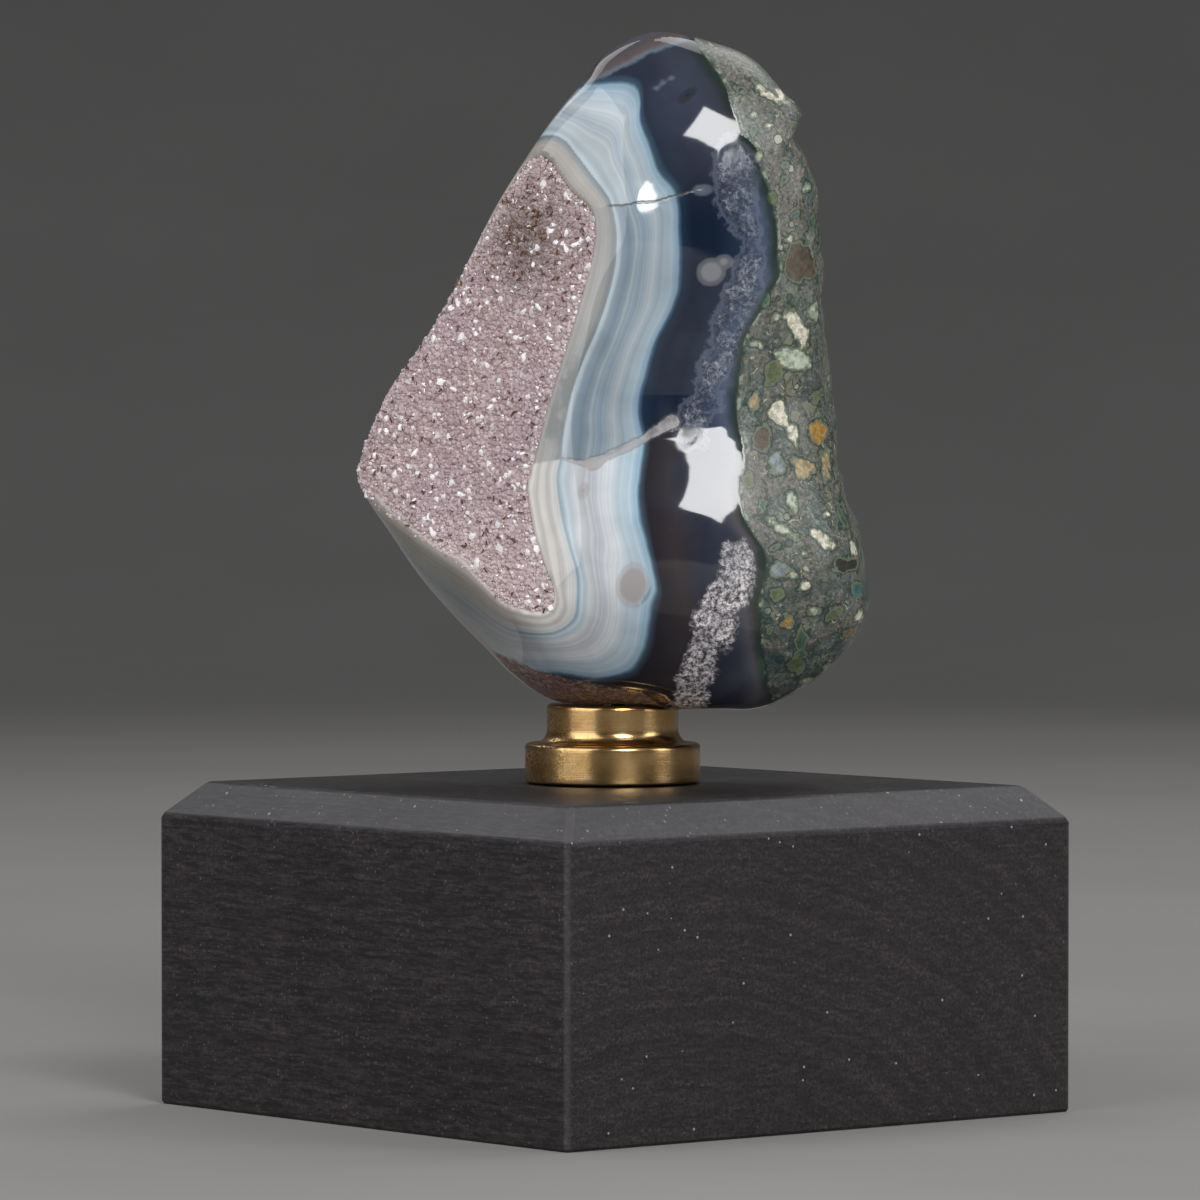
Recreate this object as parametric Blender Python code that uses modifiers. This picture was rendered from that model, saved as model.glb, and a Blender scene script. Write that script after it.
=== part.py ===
"""Agate and amethyst geode on a turned brass collar and a black wooden block.

Units are metres, +Z is up, and the origin is the centre of the block's underside.
The block's sides run along X and Y. The stone is turned on its pin, so its own
directions are "across" (left to right over its polished front) and "depth" (from
that front to its back).
"""
import math
import random

import bmesh
import bpy
import numpy as np
from mathutils import Matrix, Vector

# Wooden block
BLOCK_SIDE = 0.1016
BLOCK_HEIGHT = 0.0510
BLOCK_CHAMFER = 0.0052
BLOCK_EDGE_ROUND = 0.0005

# Space left between pieces that touch
CLEARANCE = 0.0003

# Brass collar, turned on the block's vertical axis
COLLAR_HEIGHT = 0.0122
RING_RADIUS = 0.01375
RING_HEIGHT = 0.0061
RING_SHOULDER = 0.0007
NECK_RADIUS = 0.01035
NECK_FILLET = 0.0020
NECK_EDGE_ROUND = 0.0006
COLLAR_STEPS = 48

# Steel pin through the collar
PIN_RADIUS = 0.0020
PIN_IN_BLOCK = 0.0180
PIN_IN_STONE = 0.0240
PIN_END_CHAMFER = 0.0004

# The stone's own directions, turned about the vertical
STONE_TURN = math.radians(-39.47)
ACROSS = Vector((math.cos(STONE_TURN), math.sin(STONE_TURN), 0.0))
DEPTH = Vector((-math.sin(STONE_TURN), math.cos(STONE_TURN), 0.0))
UP = Vector((0.0, 0.0, 1.0))

# Outline of the stone seen from its front: (across, height)
STONE_OUTLINE = [
    (0.0065, 0.1685), (0.0159, 0.1666), (0.0217, 0.1641), (0.0265, 0.1591), (0.0292, 0.1553),
    (0.0283, 0.1524), (0.0303, 0.1478), (0.0317, 0.1416), (0.0325, 0.1340), (0.0327, 0.1265),
    (0.0331, 0.1172),
    (0.0339, 0.1102), (0.0350, 0.1025), (0.0368, 0.0955), (0.0388, 0.0902), (0.0402, 0.0826),
    (0.0397, 0.0763), (0.0369, 0.0710), (0.0313, 0.0663), (0.0254, 0.0637), (0.0177, 0.0624),
    (0.0080, 0.0627), (-0.0030, 0.0630), (-0.0103, 0.0644), (-0.0160, 0.0675), (-0.0205, 0.0720),
    (-0.0249, 0.0763), (-0.0305, 0.0826), (-0.0355, 0.0901), (-0.0387, 0.0951), (-0.0400, 0.0992),
    (-0.0393, 0.1030), (-0.0363, 0.1102), (-0.0341, 0.1142), (-0.0296, 0.1202), (-0.0257, 0.1265),
    (-0.0219, 0.1340), (-0.0180, 0.1416), (-0.0136, 0.1485), (-0.0089, 0.1553), (-0.0046, 0.1606),
    (-0.0010, 0.1652),
]
OUTLINE_CENTRE = (0.0020, 0.1040)

# Depth of the front surface, the back surface and the outline, by height: (height, depth)
FRONT_PROFILE = [
    (0.062, -0.0225), (0.078, -0.0256), (0.092, -0.0238), (0.107, -0.0210), (0.120, -0.0215),
    (0.137, -0.0238), (0.150, -0.0236), (0.160, -0.0215), (0.170, -0.0180),
]
BACK_PROFILE = [
    (0.062, 0.0190), (0.078, 0.0245), (0.095, 0.0250), (0.115, 0.0220), (0.135, 0.0170),
    (0.155, 0.0130), (0.170, 0.0100),
]
RIM_PROFILE = [
    (0.062, 0.0000), (0.080, 0.0000), (0.100, -0.0010), (0.125, -0.0045), (0.148, -0.0090),
    (0.160, -0.0070), (0.170, -0.0050),
]
RIM_BLEND = 0.0040
RIM_DEEPEST = 0.0100
THINNEST_BACK = 0.0090
ROUNDNESS = 2.7
FIELD_SCALE = 0.030

# Ground faces: a point on the face, its outward direction and the width of its soft edge,
# all in (across, depth, height)
DRUZY_FACE = ((-0.0100, -0.0215, 0.0800), (-0.598, -0.797, 0.087), 0.0014)
LOWER_LEFT_FACE = ((-0.0127, -0.0212, 0.0766), (-0.724, -0.341, -0.600), 0.0026)
GROUND_FACES = [DRUZY_FACE, LOWER_LEFT_FACE]

STONE_SUBDIVISIONS = 5
RIND_START = 0.0200
RIND_FULL = 0.0240
RIND_SWELL = 0.0009
RIND_SWELL_SIZE = 0.0240
RIND_LUMP = 0.0004
RIND_LUMP_SIZE = 0.0085
WAVE_COUNT = 14

# Edge of the crystal crust seen from the front of the stone: (across, height)
CRUST_OUTLINE = [
    (-0.0118, 0.1487), (-0.0097, 0.1475), (-0.0065, 0.1433), (-0.0034, 0.1400), (-0.0030, 0.1351),
    (-0.0051, 0.1267), (-0.0083, 0.1166), (-0.0108, 0.1082), (-0.0130, 0.0997), (-0.0134, 0.0970),
    (-0.0123, 0.0904), (-0.0105, 0.0851), (-0.0094, 0.0824), (-0.0096, 0.0798), (-0.0113, 0.0787),
    (-0.0141, 0.0791), (-0.0173, 0.0802), (-0.0197, 0.0825), (-0.0236, 0.0868), (-0.0269, 0.0882),
    (-0.0326, 0.0926), (-0.0357, 0.0951), (-0.0381, 0.0981), (-0.0383, 0.1012), (-0.0372, 0.1048),
    (-0.0344, 0.1108), (-0.0305, 0.1166), (-0.0257, 0.1241), (-0.0211, 0.1321), (-0.0170, 0.1402),
    (-0.0140, 0.1458),
]
CRUST_BOTTOM = 0.0026
CRUST_SEAT = 0.0011
CRYSTAL_WIDTH = 0.0021
CRYSTAL_HEIGHT = (0.0006, 0.0015)
CRYSTAL_LEAN = 0.22
CRYSTAL_JITTER = 0.16
CRUST_WAVE = 0.0002
CRUST_WAVE_SIZE = 0.0120
SEED = 11


def clear_scene():
    """Remove every object of the scene the script is run in."""
    for old in list(bpy.data.objects):
        bpy.data.objects.remove(old, do_unlink=True)


def make_collection(name):
    """Return a new collection linked to the scene."""
    collection = bpy.data.collections.new(name)
    bpy.context.scene.collection.children.link(collection)
    return collection


def make_material(name, colour, roughness, metallic):
    """Return a Principled material with one colour and finish."""
    material = bpy.data.materials.new(name)
    material.use_nodes = True
    shader = material.node_tree.nodes["Principled BSDF"]
    shader.inputs["Base Color"].default_value = (*colour, 1.0)
    shader.inputs["Roughness"].default_value = roughness
    shader.inputs["Metallic"].default_value = metallic
    return material


def add_object(name, shape, collection, material=None):
    """Turn a bmesh into a named object in a collection."""
    mesh = bpy.data.meshes.new(name)
    shape.to_mesh(mesh)
    shape.free()
    made = bpy.data.objects.new(name, mesh)
    collection.objects.link(made)
    if material:
        mesh.materials.append(material)
    return made


def cut_with(piece, cutter):
    """Subtract a cutter from a piece with an exact Boolean."""
    cutter.hide_render = True
    cutter.display_type = "WIRE"
    boolean = piece.modifiers.new("Cut " + cutter.name, "BOOLEAN")
    boolean.operation = "DIFFERENCE"
    boolean.solver = "EXACT"
    boolean.object = cutter


def cylinder(radius, bottom, top, segments):
    """Return a closed upright cylinder on the vertical axis as a bmesh."""
    shape = bmesh.new()
    bmesh.ops.create_cone(
        shape, cap_ends=True, segments=segments, radius1=radius, radius2=radius,
        depth=top - bottom, matrix=Matrix.Translation((0.0, 0.0, (top + bottom) / 2)))
    return shape


def closed_curve(points, samples=8):
    """Return points on a smooth closed curve (Catmull-Rom) through the given ones."""
    here = np.array(points)
    before = np.roll(here, 1, axis=0)
    after = np.roll(here, -1, axis=0)
    beyond = np.roll(here, -2, axis=0)
    rows = []
    for step in range(samples):
        t = step / samples
        rows.append(0.5 * (2 * here + (after - before) * t
                           + (2 * before - 5 * here + 4 * after - beyond) * t ** 2
                           + (3 * here - before - 3 * after + beyond) * t ** 3))
    return np.stack(rows, axis=1).reshape(-1, 2)


def smooth_profile(points, heights):
    """Return a smooth profile through (height, depth) pairs at the given heights."""
    rows = np.array([points[0]] + points + [points[-1]])
    before, here, after, beyond = rows[:-3], rows[1:-2], rows[2:-1], rows[3:]
    t = np.linspace(0.0, 1.0, 9)[:, None, None]
    curve = 0.5 * (2 * here + (after - before) * t
                   + (2 * before - 5 * here + 4 * after - beyond) * t ** 2
                   + (3 * here - before - 3 * after + beyond) * t ** 3)
    curve = np.swapaxes(curve, 0, 1).reshape(-1, 2)
    return np.interp(heights, curve[:, 0], curve[:, 1])


def lumps(spots, size, seed):
    """Return an even, lumpy field from -1 to 1: the sum of waves in seeded directions."""
    chance = np.random.default_rng(seed)
    total = np.zeros(len(spots))
    for _ in range(WAVE_COUNT):
        direction = chance.normal(size=3)
        direction *= chance.uniform(0.6, 1.4) / np.linalg.norm(direction)
        total += np.sin(spots @ direction * (2 * math.pi / size) + chance.uniform(0, 2 * math.pi))
    return np.clip(total / math.sqrt(WAVE_COUNT), -1.6, 1.6) / 1.6


def soft_max(first, second, blend):
    """Return the larger of two fields, rounded over where they meet."""
    overlap = np.clip(blend - np.abs(first - second), 0.0, None)
    return np.maximum(first, second) + overlap * overlap / (4.0 * blend)


def above_face(face, across, depth, height):
    """Return how far points lie outside a ground face."""
    point, direction, _ = face
    unit = np.array(direction) / np.linalg.norm(direction)
    return ((across - point[0]) * unit[0] + (depth - point[1]) * unit[1]
            + (height - point[2]) * unit[2])


def depth_on_face(face, across, height):
    """Return the depth at which a ground face is met at a place seen from the front."""
    point, direction, _ = face
    return point[1] - ((across - point[0]) * direction[0]
                       + (height - point[2]) * direction[2]) / direction[1]


OUTLINE_CURVE = closed_curve(STONE_OUTLINE) - np.array(OUTLINE_CENTRE)
OUTLINE_ANGLE = np.arctan2(OUTLINE_CURVE[:, 1], OUTLINE_CURVE[:, 0])
OUTLINE_REACH = np.hypot(OUTLINE_CURVE[:, 0], OUTLINE_CURVE[:, 1])


def stone_field(across, depth, height):
    """Return how far points lie outside the stone, about in metres, negative inside.

    The stone is a soft pillow between a front and a back surface inside its outline,
    with flat faces ground on it. The outline lies where the ground faces reach it.
    """
    offset_across = across - OUTLINE_CENTRE[0]
    offset_height = height - OUTLINE_CENTRE[1]
    angle = np.arctan2(offset_height, offset_across)
    outline = np.interp(angle, OUTLINE_ANGLE, OUTLINE_REACH, period=2 * math.pi)
    reach = np.hypot(offset_across, offset_height) / outline
    rim = smooth_profile(RIM_PROFILE, height)
    for face in GROUND_FACES:
        rim = soft_max(rim, depth_on_face(face, across, height), RIM_BLEND)
    rim = np.minimum(rim, RIM_DEEPEST)
    front = smooth_profile(FRONT_PROFILE, height)
    back = np.maximum(smooth_profile(BACK_PROFILE, height), rim + THINNEST_BACK)
    swell = np.where(depth < rim, rim - front, back - rim)
    pillow = (reach ** ROUNDNESS + np.abs((depth - rim) / swell) ** ROUNDNESS) ** (1 / ROUNDNESS)
    field = (pillow - 1.0) * FIELD_SCALE
    for face in GROUND_FACES:
        field = soft_max(field, above_face(face, across, depth, height), face[2])
    return field


def place(across, depth, height):
    """Return the world position of a place given in the stone's own directions."""
    return ACROSS * across + DEPTH * depth + UP * height


def make_block(collection, cutters, material):
    """Square block of wood with chamfered top edges and a blind hole for the pin."""
    shape = bmesh.new()
    bmesh.ops.create_cube(shape, size=1.0)
    bmesh.ops.scale(shape, vec=(BLOCK_SIDE, BLOCK_SIDE, BLOCK_HEIGHT), verts=shape.verts)
    bmesh.ops.translate(shape, vec=(0.0, 0.0, BLOCK_HEIGHT / 2), verts=shape.verts)
    top_edges = [edge for edge in shape.edges if all(v.co.z > BLOCK_HEIGHT / 2 for v in edge.verts)]
    bmesh.ops.bevel(shape, geom=top_edges, offset=BLOCK_CHAMFER, segments=1, affect="EDGES")
    block = add_object("wood_base", shape, collection, material)
    edges = block.modifiers.new("Worn edges", "BEVEL")
    edges.width = BLOCK_EDGE_ROUND
    edges.segments = 1
    edges.limit_method = "ANGLE"
    edges.angle_limit = math.radians(30)
    hole_bottom = BLOCK_HEIGHT - PIN_IN_BLOCK - CLEARANCE
    hole = cylinder(PIN_RADIUS + CLEARANCE, hole_bottom, BLOCK_HEIGHT + 0.005, 16)
    cut_with(block, add_object("block_hole", hole, cutters))
    return block


def arc(centre, radius, start, end, steps):
    """Return points (radius, height) on an arc, angles in degrees."""
    points = []
    for step in range(steps + 1):
        angle = math.radians(start + (end - start) * step / steps)
        points.append((centre[0] + radius * math.cos(angle), centre[1] + radius * math.sin(angle)))
    return points


def make_collar(collection, material):
    """Turned brass collar: lower ring, rounded shoulder, fillet and neck, with a bore."""
    bottom = BLOCK_HEIGHT + CLEARANCE
    top = bottom + COLLAR_HEIGHT
    ring_top = bottom + RING_HEIGHT
    bore = PIN_RADIUS + CLEARANCE
    fillet_centre = (NECK_RADIUS + NECK_FILLET, ring_top + NECK_FILLET)
    profile = [(bore, top)]
    profile += arc((NECK_RADIUS - NECK_EDGE_ROUND, top - NECK_EDGE_ROUND), NECK_EDGE_ROUND, 90, 0, 2)
    profile += arc(fillet_centre, NECK_FILLET, 180, 270, 4)
    profile += arc((RING_RADIUS - RING_SHOULDER, ring_top - RING_SHOULDER), RING_SHOULDER, 90, 0, 2)
    profile.append((RING_RADIUS, bottom))
    profile.append((bore, bottom))
    shape = bmesh.new()
    rail = [shape.verts.new((radius, 0.0, height)) for radius, height in profile]
    for start, end in zip(rail, rail[1:] + rail[:1]):
        shape.edges.new((start, end))
    collar = add_object("brass_collar", shape, collection, material)
    turn = collar.modifiers.new("Turned", "SCREW")
    turn.angle = 2 * math.pi
    turn.steps = COLLAR_STEPS
    turn.render_steps = COLLAR_STEPS
    turn.use_merge_vertices = True
    turn.merge_threshold = 0.00001
    return collar


def make_pin(collection, material):
    """Steel pin that joins block, collar and stone."""
    shape = cylinder(PIN_RADIUS, BLOCK_HEIGHT - PIN_IN_BLOCK, SEAT_HEIGHT + PIN_IN_STONE, 16)
    rims = [edge for edge in shape.edges if abs(edge.verts[0].co.z - edge.verts[1].co.z) < 1e-6]
    bmesh.ops.bevel(shape, geom=rims, offset=PIN_END_CHAMFER, segments=1, affect="EDGES")
    return add_object("mounting_pin", shape, collection, material)


SEAT_HEIGHT = BLOCK_HEIGHT + CLEARANCE + COLLAR_HEIGHT + CLEARANCE


def crust_frame():
    """Return the crust's origin and its right, up and outward directions."""
    point, direction, _ = DRUZY_FACE
    outward = Vector(direction).normalized()
    sideways = Vector((0.0, 0.0, 1.0)).cross(outward).normalized()
    upward = outward.cross(sideways).normalized()
    return Vector(point), sideways, upward, outward


def crust_outline(grow):
    """Return the crust's edge on its own face, as (right, up) pairs, grown by a margin."""
    origin, sideways, upward, _ = crust_frame()
    flat = []
    for across, height in closed_curve(CRUST_OUTLINE, 5):
        offset = Vector((across, depth_on_face(DRUZY_FACE, across, height), height)) - origin
        flat.append((offset.dot(sideways), offset.dot(upward)))
    flat = np.array(flat)
    run = np.roll(flat, -1, axis=0) - np.roll(flat, 1, axis=0)
    run /= np.linalg.norm(run, axis=1)[:, None]
    left = np.stack([-run[:, 1], run[:, 0]], axis=1)
    x, y = flat.T
    area = np.sum(x * np.roll(y, -1) - np.roll(x, -1) * y)
    return flat - left * grow if area > 0 else flat + left * grow


def on_crust_face(right, up, out):
    """Return the world position of a place on the crust's face, raised outward."""
    origin, sideways, upward, outward = crust_frame()
    spot = origin + sideways * right + upward * up + outward * out
    return place(*spot)


def inside(polygon, right, up):
    """Tell whether a flat point lies inside a closed polygon."""
    x, y = polygon.T
    next_x, next_y = np.roll(x, -1), np.roll(y, -1)
    straddles = (y > up) != (next_y > up)
    with np.errstate(divide="ignore", invalid="ignore"):
        crossing = x + (up - y) / (next_y - y) * (next_x - x)
    return np.count_nonzero(straddles & (right < crossing)) % 2 == 1


def nearest_on(polygon, spot):
    """Return the point of a closed polygon's edge that lies nearest to a flat point."""
    start = polygon
    run = np.roll(polygon, -1, axis=0) - polygon
    along = np.clip(((spot - start) * run).sum(axis=1) / (run * run).sum(axis=1), 0.0, 1.0)
    feet = start + run * along[:, None]
    return tuple(feet[np.argmin(np.hypot(*(feet - spot).T))])


def crust_cutter(cutters):
    """Closed cutter for the pocket that holds the crust."""
    shape = bmesh.new()
    floor = -(CRUST_BOTTOM + CLEARANCE)
    ring = [shape.verts.new(on_crust_face(right, up, floor))
            for right, up in crust_outline(CLEARANCE)]
    face = shape.faces.new(ring)
    lifted = bmesh.ops.extrude_face_region(shape, geom=[face])
    outward = on_crust_face(0, 0, 1.0) - on_crust_face(0, 0, 0.0)
    raised = [item for item in lifted["geom"] if isinstance(item, bmesh.types.BMVert)]
    bmesh.ops.translate(shape, vec=outward * (CRUST_BOTTOM + 0.012), verts=raised)
    bmesh.ops.recalc_face_normals(shape, faces=shape.faces)
    return add_object("crust_pocket", shape, cutters)


def make_geode(collection, cutters, material):
    """The stone: a sphere whose points are moved out to the stone's surface."""
    shape = bmesh.new()
    bmesh.ops.create_icosphere(shape, subdivisions=STONE_SUBDIVISIONS, radius=1.0)
    directions = np.array([vert.co[:] for vert in shape.verts])
    near = np.full(len(directions), 0.005)
    far = np.full(len(directions), 0.090)
    centre = np.array([OUTLINE_CENTRE[0], 0.0, OUTLINE_CENTRE[1]])
    for _ in range(40):
        middle = (near + far) / 2
        spots = centre + directions * middle[:, None]
        outside = stone_field(*spots.T) > 0
        far = np.where(outside, middle, far)
        near = np.where(outside, near, middle)
    spots = centre + directions * near[:, None]
    below_druzy = -above_face(DRUZY_FACE, *spots.T)
    rind = np.clip((below_druzy - RIND_START) / (RIND_FULL - RIND_START), 0.0, 1.0)
    relief = RIND_SWELL * lumps(spots, RIND_SWELL_SIZE, 3) + RIND_LUMP * lumps(spots, RIND_LUMP_SIZE, 4)
    spots += directions * (relief * rind)[:, None]
    for vert, spot in zip(shape.verts, spots):
        vert.co = place(*spot)
    geode = add_object("geode", shape, collection, material)
    cut_with(geode, crust_cutter(cutters))
    seat = cylinder(NECK_RADIUS + CLEARANCE, BLOCK_HEIGHT, SEAT_HEIGHT, COLLAR_STEPS)
    cut_with(geode, add_object("collar_seat", seat, cutters))
    hole = cylinder(PIN_RADIUS + CLEARANCE, BLOCK_HEIGHT, SEAT_HEIGHT + PIN_IN_STONE + CLEARANCE, 16)
    cut_with(geode, add_object("stone_hole", hole, cutters))
    return geode


def make_crust(collection, material):
    """Crystal crust: a honeycomb of cells, each raised to a six-sided point."""
    chance = random.Random(SEED)
    edge = crust_outline(0.0)
    shape = bmesh.new()
    corners = {}
    spots = {}
    row_step = CRYSTAL_WIDTH * math.sqrt(3) / 2
    low = edge.min(axis=0)
    columns = int(np.ptp(edge[:, 0]) / CRYSTAL_WIDTH) + 3
    rows = int(np.ptp(edge[:, 1]) / row_step) + 3
    for row in range(rows):
        for column in range(columns):
            middle_right = low[0] + (column + 0.5 * (row % 2)) * CRYSTAL_WIDTH
            middle_up = low[1] + row * row_step
            if not inside(edge, middle_right, middle_up):
                continue
            ring = []
            for side in range(6):
                angle = math.radians(30 + 60 * side)
                right = middle_right + CRYSTAL_WIDTH / math.sqrt(3) * math.cos(angle)
                up = middle_up + CRYSTAL_WIDTH / math.sqrt(3) * math.sin(angle)
                key = (round(right / CRYSTAL_WIDTH * 12), round(up / CRYSTAL_WIDTH * 12))
                if key not in corners:
                    right += chance.uniform(-1, 1) * CRYSTAL_JITTER * CRYSTAL_WIDTH
                    up += chance.uniform(-1, 1) * CRYSTAL_JITTER * CRYSTAL_WIDTH
                    corners[key] = shape.verts.new((0.0, 0.0, 0.0))
                    spots[corners[key]] = (right, up)
                ring.append(corners[key])
            shape.faces.new(ring)
    for vert in shape.verts:
        if vert.is_boundary:
            spots[vert] = nearest_on(edge, spots[vert])
    return finish_crust(shape, spots, chance, collection, material)


def finish_crust(shape, spots, chance, collection, material):
    """Raise the crystals, wall the crust in and close it below."""
    flat = np.array([(right, up, 0.0) for right, up in spots.values()])
    waves = lumps(flat, CRUST_WAVE_SIZE, 5) * CRUST_WAVE
    for vert, (right, up), wave in zip(spots, spots.values(), waves):
        vert.co = on_crust_face(right, up, wave - CRUST_SEAT)
    bmesh.ops.remove_doubles(shape, verts=shape.verts, dist=CRYSTAL_WIDTH / 8)
    outward = on_crust_face(0, 0, 1.0) - on_crust_face(0, 0, 0.0)
    for face in list(shape.faces):
        size = math.sqrt(face.calc_area())
        height = chance.uniform(*CRYSTAL_HEIGHT) * min(1.0, size / CRYSTAL_WIDTH)
        lean = Vector([chance.uniform(-1, 1) for _ in range(3)]) * CRYSTAL_LEAN * size
        point = bmesh.ops.poke(shape, faces=[face])["verts"][0]
        point.co += outward * height + lean - outward * lean.dot(outward)
    rim = [line for line in shape.edges if line.is_boundary]
    walls = bmesh.ops.extrude_edge_only(shape, edges=rim)
    lower = [item for item in walls["geom"] if isinstance(item, bmesh.types.BMVert)]
    for vert in lower:
        sunk = (vert.co - on_crust_face(0, 0, -CRUST_BOTTOM)).dot(outward)
        vert.co -= outward * sunk
    bottom = [line for line in shape.edges if line.is_boundary]
    bmesh.ops.contextual_create(shape, geom=bottom)
    bmesh.ops.recalc_face_normals(shape, faces=shape.faces)
    return add_object("amethyst_crust", shape, collection, material)


def main():
    """Build the whole object."""
    clear_scene()
    parts = make_collection("agate_amethyst_geode")
    cutters = make_collection("cutters")
    wood = make_material("Matt black painted wood", (0.018, 0.017, 0.019), 0.62, 0.0)
    brass = make_material("Brushed brass", (0.62, 0.42, 0.17), 0.32, 1.0)
    steel = make_material("Steel pin", (0.45, 0.45, 0.46), 0.35, 1.0)
    stone = make_material("Banded agate and basalt", (0.24, 0.29, 0.34), 0.12, 0.0)
    amethyst = make_material("Pale amethyst", (0.42, 0.33, 0.38), 0.25, 0.0)
    make_block(parts, cutters, wood)
    make_collar(parts, brass)
    make_pin(parts, steel)
    make_geode(parts, cutters, stone)
    make_crust(parts, amethyst)
    for made in parts.objects:
        if made.name in ("brass_collar", "mounting_pin"):
            made.data.shade_smooth()


main()
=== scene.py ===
import math

import bpy
import numpy as np
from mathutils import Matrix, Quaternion, Vector


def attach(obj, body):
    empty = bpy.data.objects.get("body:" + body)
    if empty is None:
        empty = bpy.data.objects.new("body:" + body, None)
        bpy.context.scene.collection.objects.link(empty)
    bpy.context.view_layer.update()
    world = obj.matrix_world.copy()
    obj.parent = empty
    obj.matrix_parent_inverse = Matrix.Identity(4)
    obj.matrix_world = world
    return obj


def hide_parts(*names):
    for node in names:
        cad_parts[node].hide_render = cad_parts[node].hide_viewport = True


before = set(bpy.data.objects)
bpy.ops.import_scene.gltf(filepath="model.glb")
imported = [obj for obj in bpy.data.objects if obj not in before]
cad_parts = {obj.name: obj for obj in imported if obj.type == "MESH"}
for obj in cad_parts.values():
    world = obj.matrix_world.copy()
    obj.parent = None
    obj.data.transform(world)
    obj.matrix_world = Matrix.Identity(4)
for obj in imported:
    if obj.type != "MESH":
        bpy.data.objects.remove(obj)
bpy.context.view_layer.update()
print("frame loaded")

# How the photograph was taken: metres, and pixels of the whole 1200 x 1200 frame
photo = {
    "turn": math.radians(-39.47),  # the camera's direction about the vertical
    "tilt": math.radians(1.72),
    "distance": 1.228,
    "aimAcross": -0.00199,
    "aimHeight": 0.07977,
    "focal": 7832.0,
    "pixels": 1200,
    "sensor": 36.0,
}
alongPhoto = np.array([math.cos(photo["turn"]), math.sin(photo["turn"]), 0.0])  # the photograph's right
intoPhoto = np.array([-math.sin(photo["turn"]), math.cos(photo["turn"]), 0.0])  # level, away from the camera
straightUp = np.array([0.0, 0.0, 1.0])
viewBack = straightUp * math.sin(photo["tilt"]) - intoPhoto * math.cos(photo["tilt"])
viewUp = np.cross(viewBack, alongPhoto)
aimPoint = alongPhoto * photo["aimAcross"] + straightUp * photo["aimHeight"]
cameraPlace = aimPoint + viewBack * photo["distance"]


def toPhoto(points):  # world points to the photograph's pixels
    offset = points - cameraPlace
    ahead = -(offset @ viewBack)
    half = photo["pixels"] / 2
    across = photo["focal"] * (offset @ alongPhoto) / ahead
    up = photo["focal"] * (offset @ viewUp) / ahead
    return half + across, half - up


def toWorld(local):  # (across, depth, height) of the stone to world places
    return local[:, :1] * alongPhoto + local[:, 1:2] * intoPhoto + local[:, 2:] * straightUp


def makeCamera():
    data = bpy.data.cameras.new("photoCamera")
    data.sensor_width = photo["sensor"]
    data.lens = photo["focal"] * photo["sensor"] / photo["pixels"]
    data.clip_start = 0.05
    data.clip_end = 30
    holder = bpy.data.objects.new("photoCamera", data)
    holder.location = cameraPlace
    holder.rotation_euler = Vector(-viewBack).to_track_quat("-Z", "Y").to_euler()
    bpy.context.scene.collection.objects.link(holder)
    bpy.context.scene.camera = holder


makeCamera()
print("camera placed")


# Small tools for arrays of points

def smoothstep(low, high, value):
    t = np.clip((value - low) / (high - low), 0.0, 1.0)
    return t * t * (3 - 2 * t)


def curveThrough(before, here, after, beyond, shares):  # Catmull-Rom: a cubic for each span, at shares of it
    t = shares[:, None, None]
    curve = 0.5 * (2 * here + (after - before) * t + (2 * before - 5 * here + 4 * after - beyond) * t ** 2
                   + (3 * here - before - 3 * after + beyond) * t ** 3)
    return np.swapaxes(curve, 0, 1).reshape(-1, here.shape[1])


def closedCurve(points, samples=8):  # smooth closed curve through the points
    here = np.array(points, float)
    before, after, beyond = (np.roll(here, shift, axis=0) for shift in (1, -1, -2))
    return curveThrough(before, here, after, beyond, np.arange(samples) / samples)


def smoothProfile(points, heights):  # the same curve through an open row of points, read at given heights
    rows = np.array([points[0]] + points + [points[-1]], float)
    curve = curveThrough(rows[:-3], rows[1:-2], rows[2:-1], rows[3:], np.linspace(0.0, 1.0, 9))
    return np.interp(heights, curve[:, 0], curve[:, 1])


def softMax(first, second, blend):  # the larger of two fields, rounded over where they meet
    overlap = np.clip(blend - np.abs(first - second), 0.0, None)
    return np.maximum(first, second) + overlap * overlap / (4.0 * blend)


def lumps(points, size, seed, count=14):  # sum of sine waves in seeded directions, from -1 to 1
    chance = np.random.default_rng(seed)
    total = np.zeros(len(points))
    for wave in range(count):
        direction = chance.normal(size=3)
        direction *= chance.uniform(0.6, 1.4) / np.linalg.norm(direction)
        total += np.sin(points @ direction * (2 * math.pi / size) + chance.uniform(0, 2 * math.pi))
    return np.clip(total / math.sqrt(count), -1.6, 1.6) / 1.6


def grains(points, size, seed):  # random values at the corners of a lattice, eased between them, from -1 to 1
    cell = np.asarray(points) / size
    base = np.floor(cell).astype(np.int64)
    part = cell - base
    part = part * part * (3 - 2 * part)
    total = np.zeros(len(cell))
    for corner in range(8):
        step = np.array([corner & 1, corner >> 1 & 1, corner >> 2 & 1])
        spot = base + step
        mixed = spot[:, 0] * 73856093 ^ spot[:, 1] * 19349663 ^ spot[:, 2] * 83492791 ^ seed * 40503
        value = (mixed * 2654435761 >> 7 & 0xFFFF) / 0xFFFF
        total += value * np.prod(np.where(step, part, 1 - part), axis=1)
    return total * 2 - 1


def pathField(x, y, path):  # how far inside a path of changing half width each place lies, negative outside
    best = np.full(len(x), -1e9)
    for start, end in zip(path[:-1], path[1:]):
        runX, runY = end[0] - start[0], end[1] - start[1]
        t = np.clip(((x - start[0]) * runX + (y - start[1]) * runY) / (runX ** 2 + runY ** 2), 0.0, 1.0)
        reach = np.hypot(x - start[0] - runX * t, y - start[1] - runY * t)
        best = np.maximum(best, start[2] + (end[2] - start[2]) * t - reach)
    return best


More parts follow.
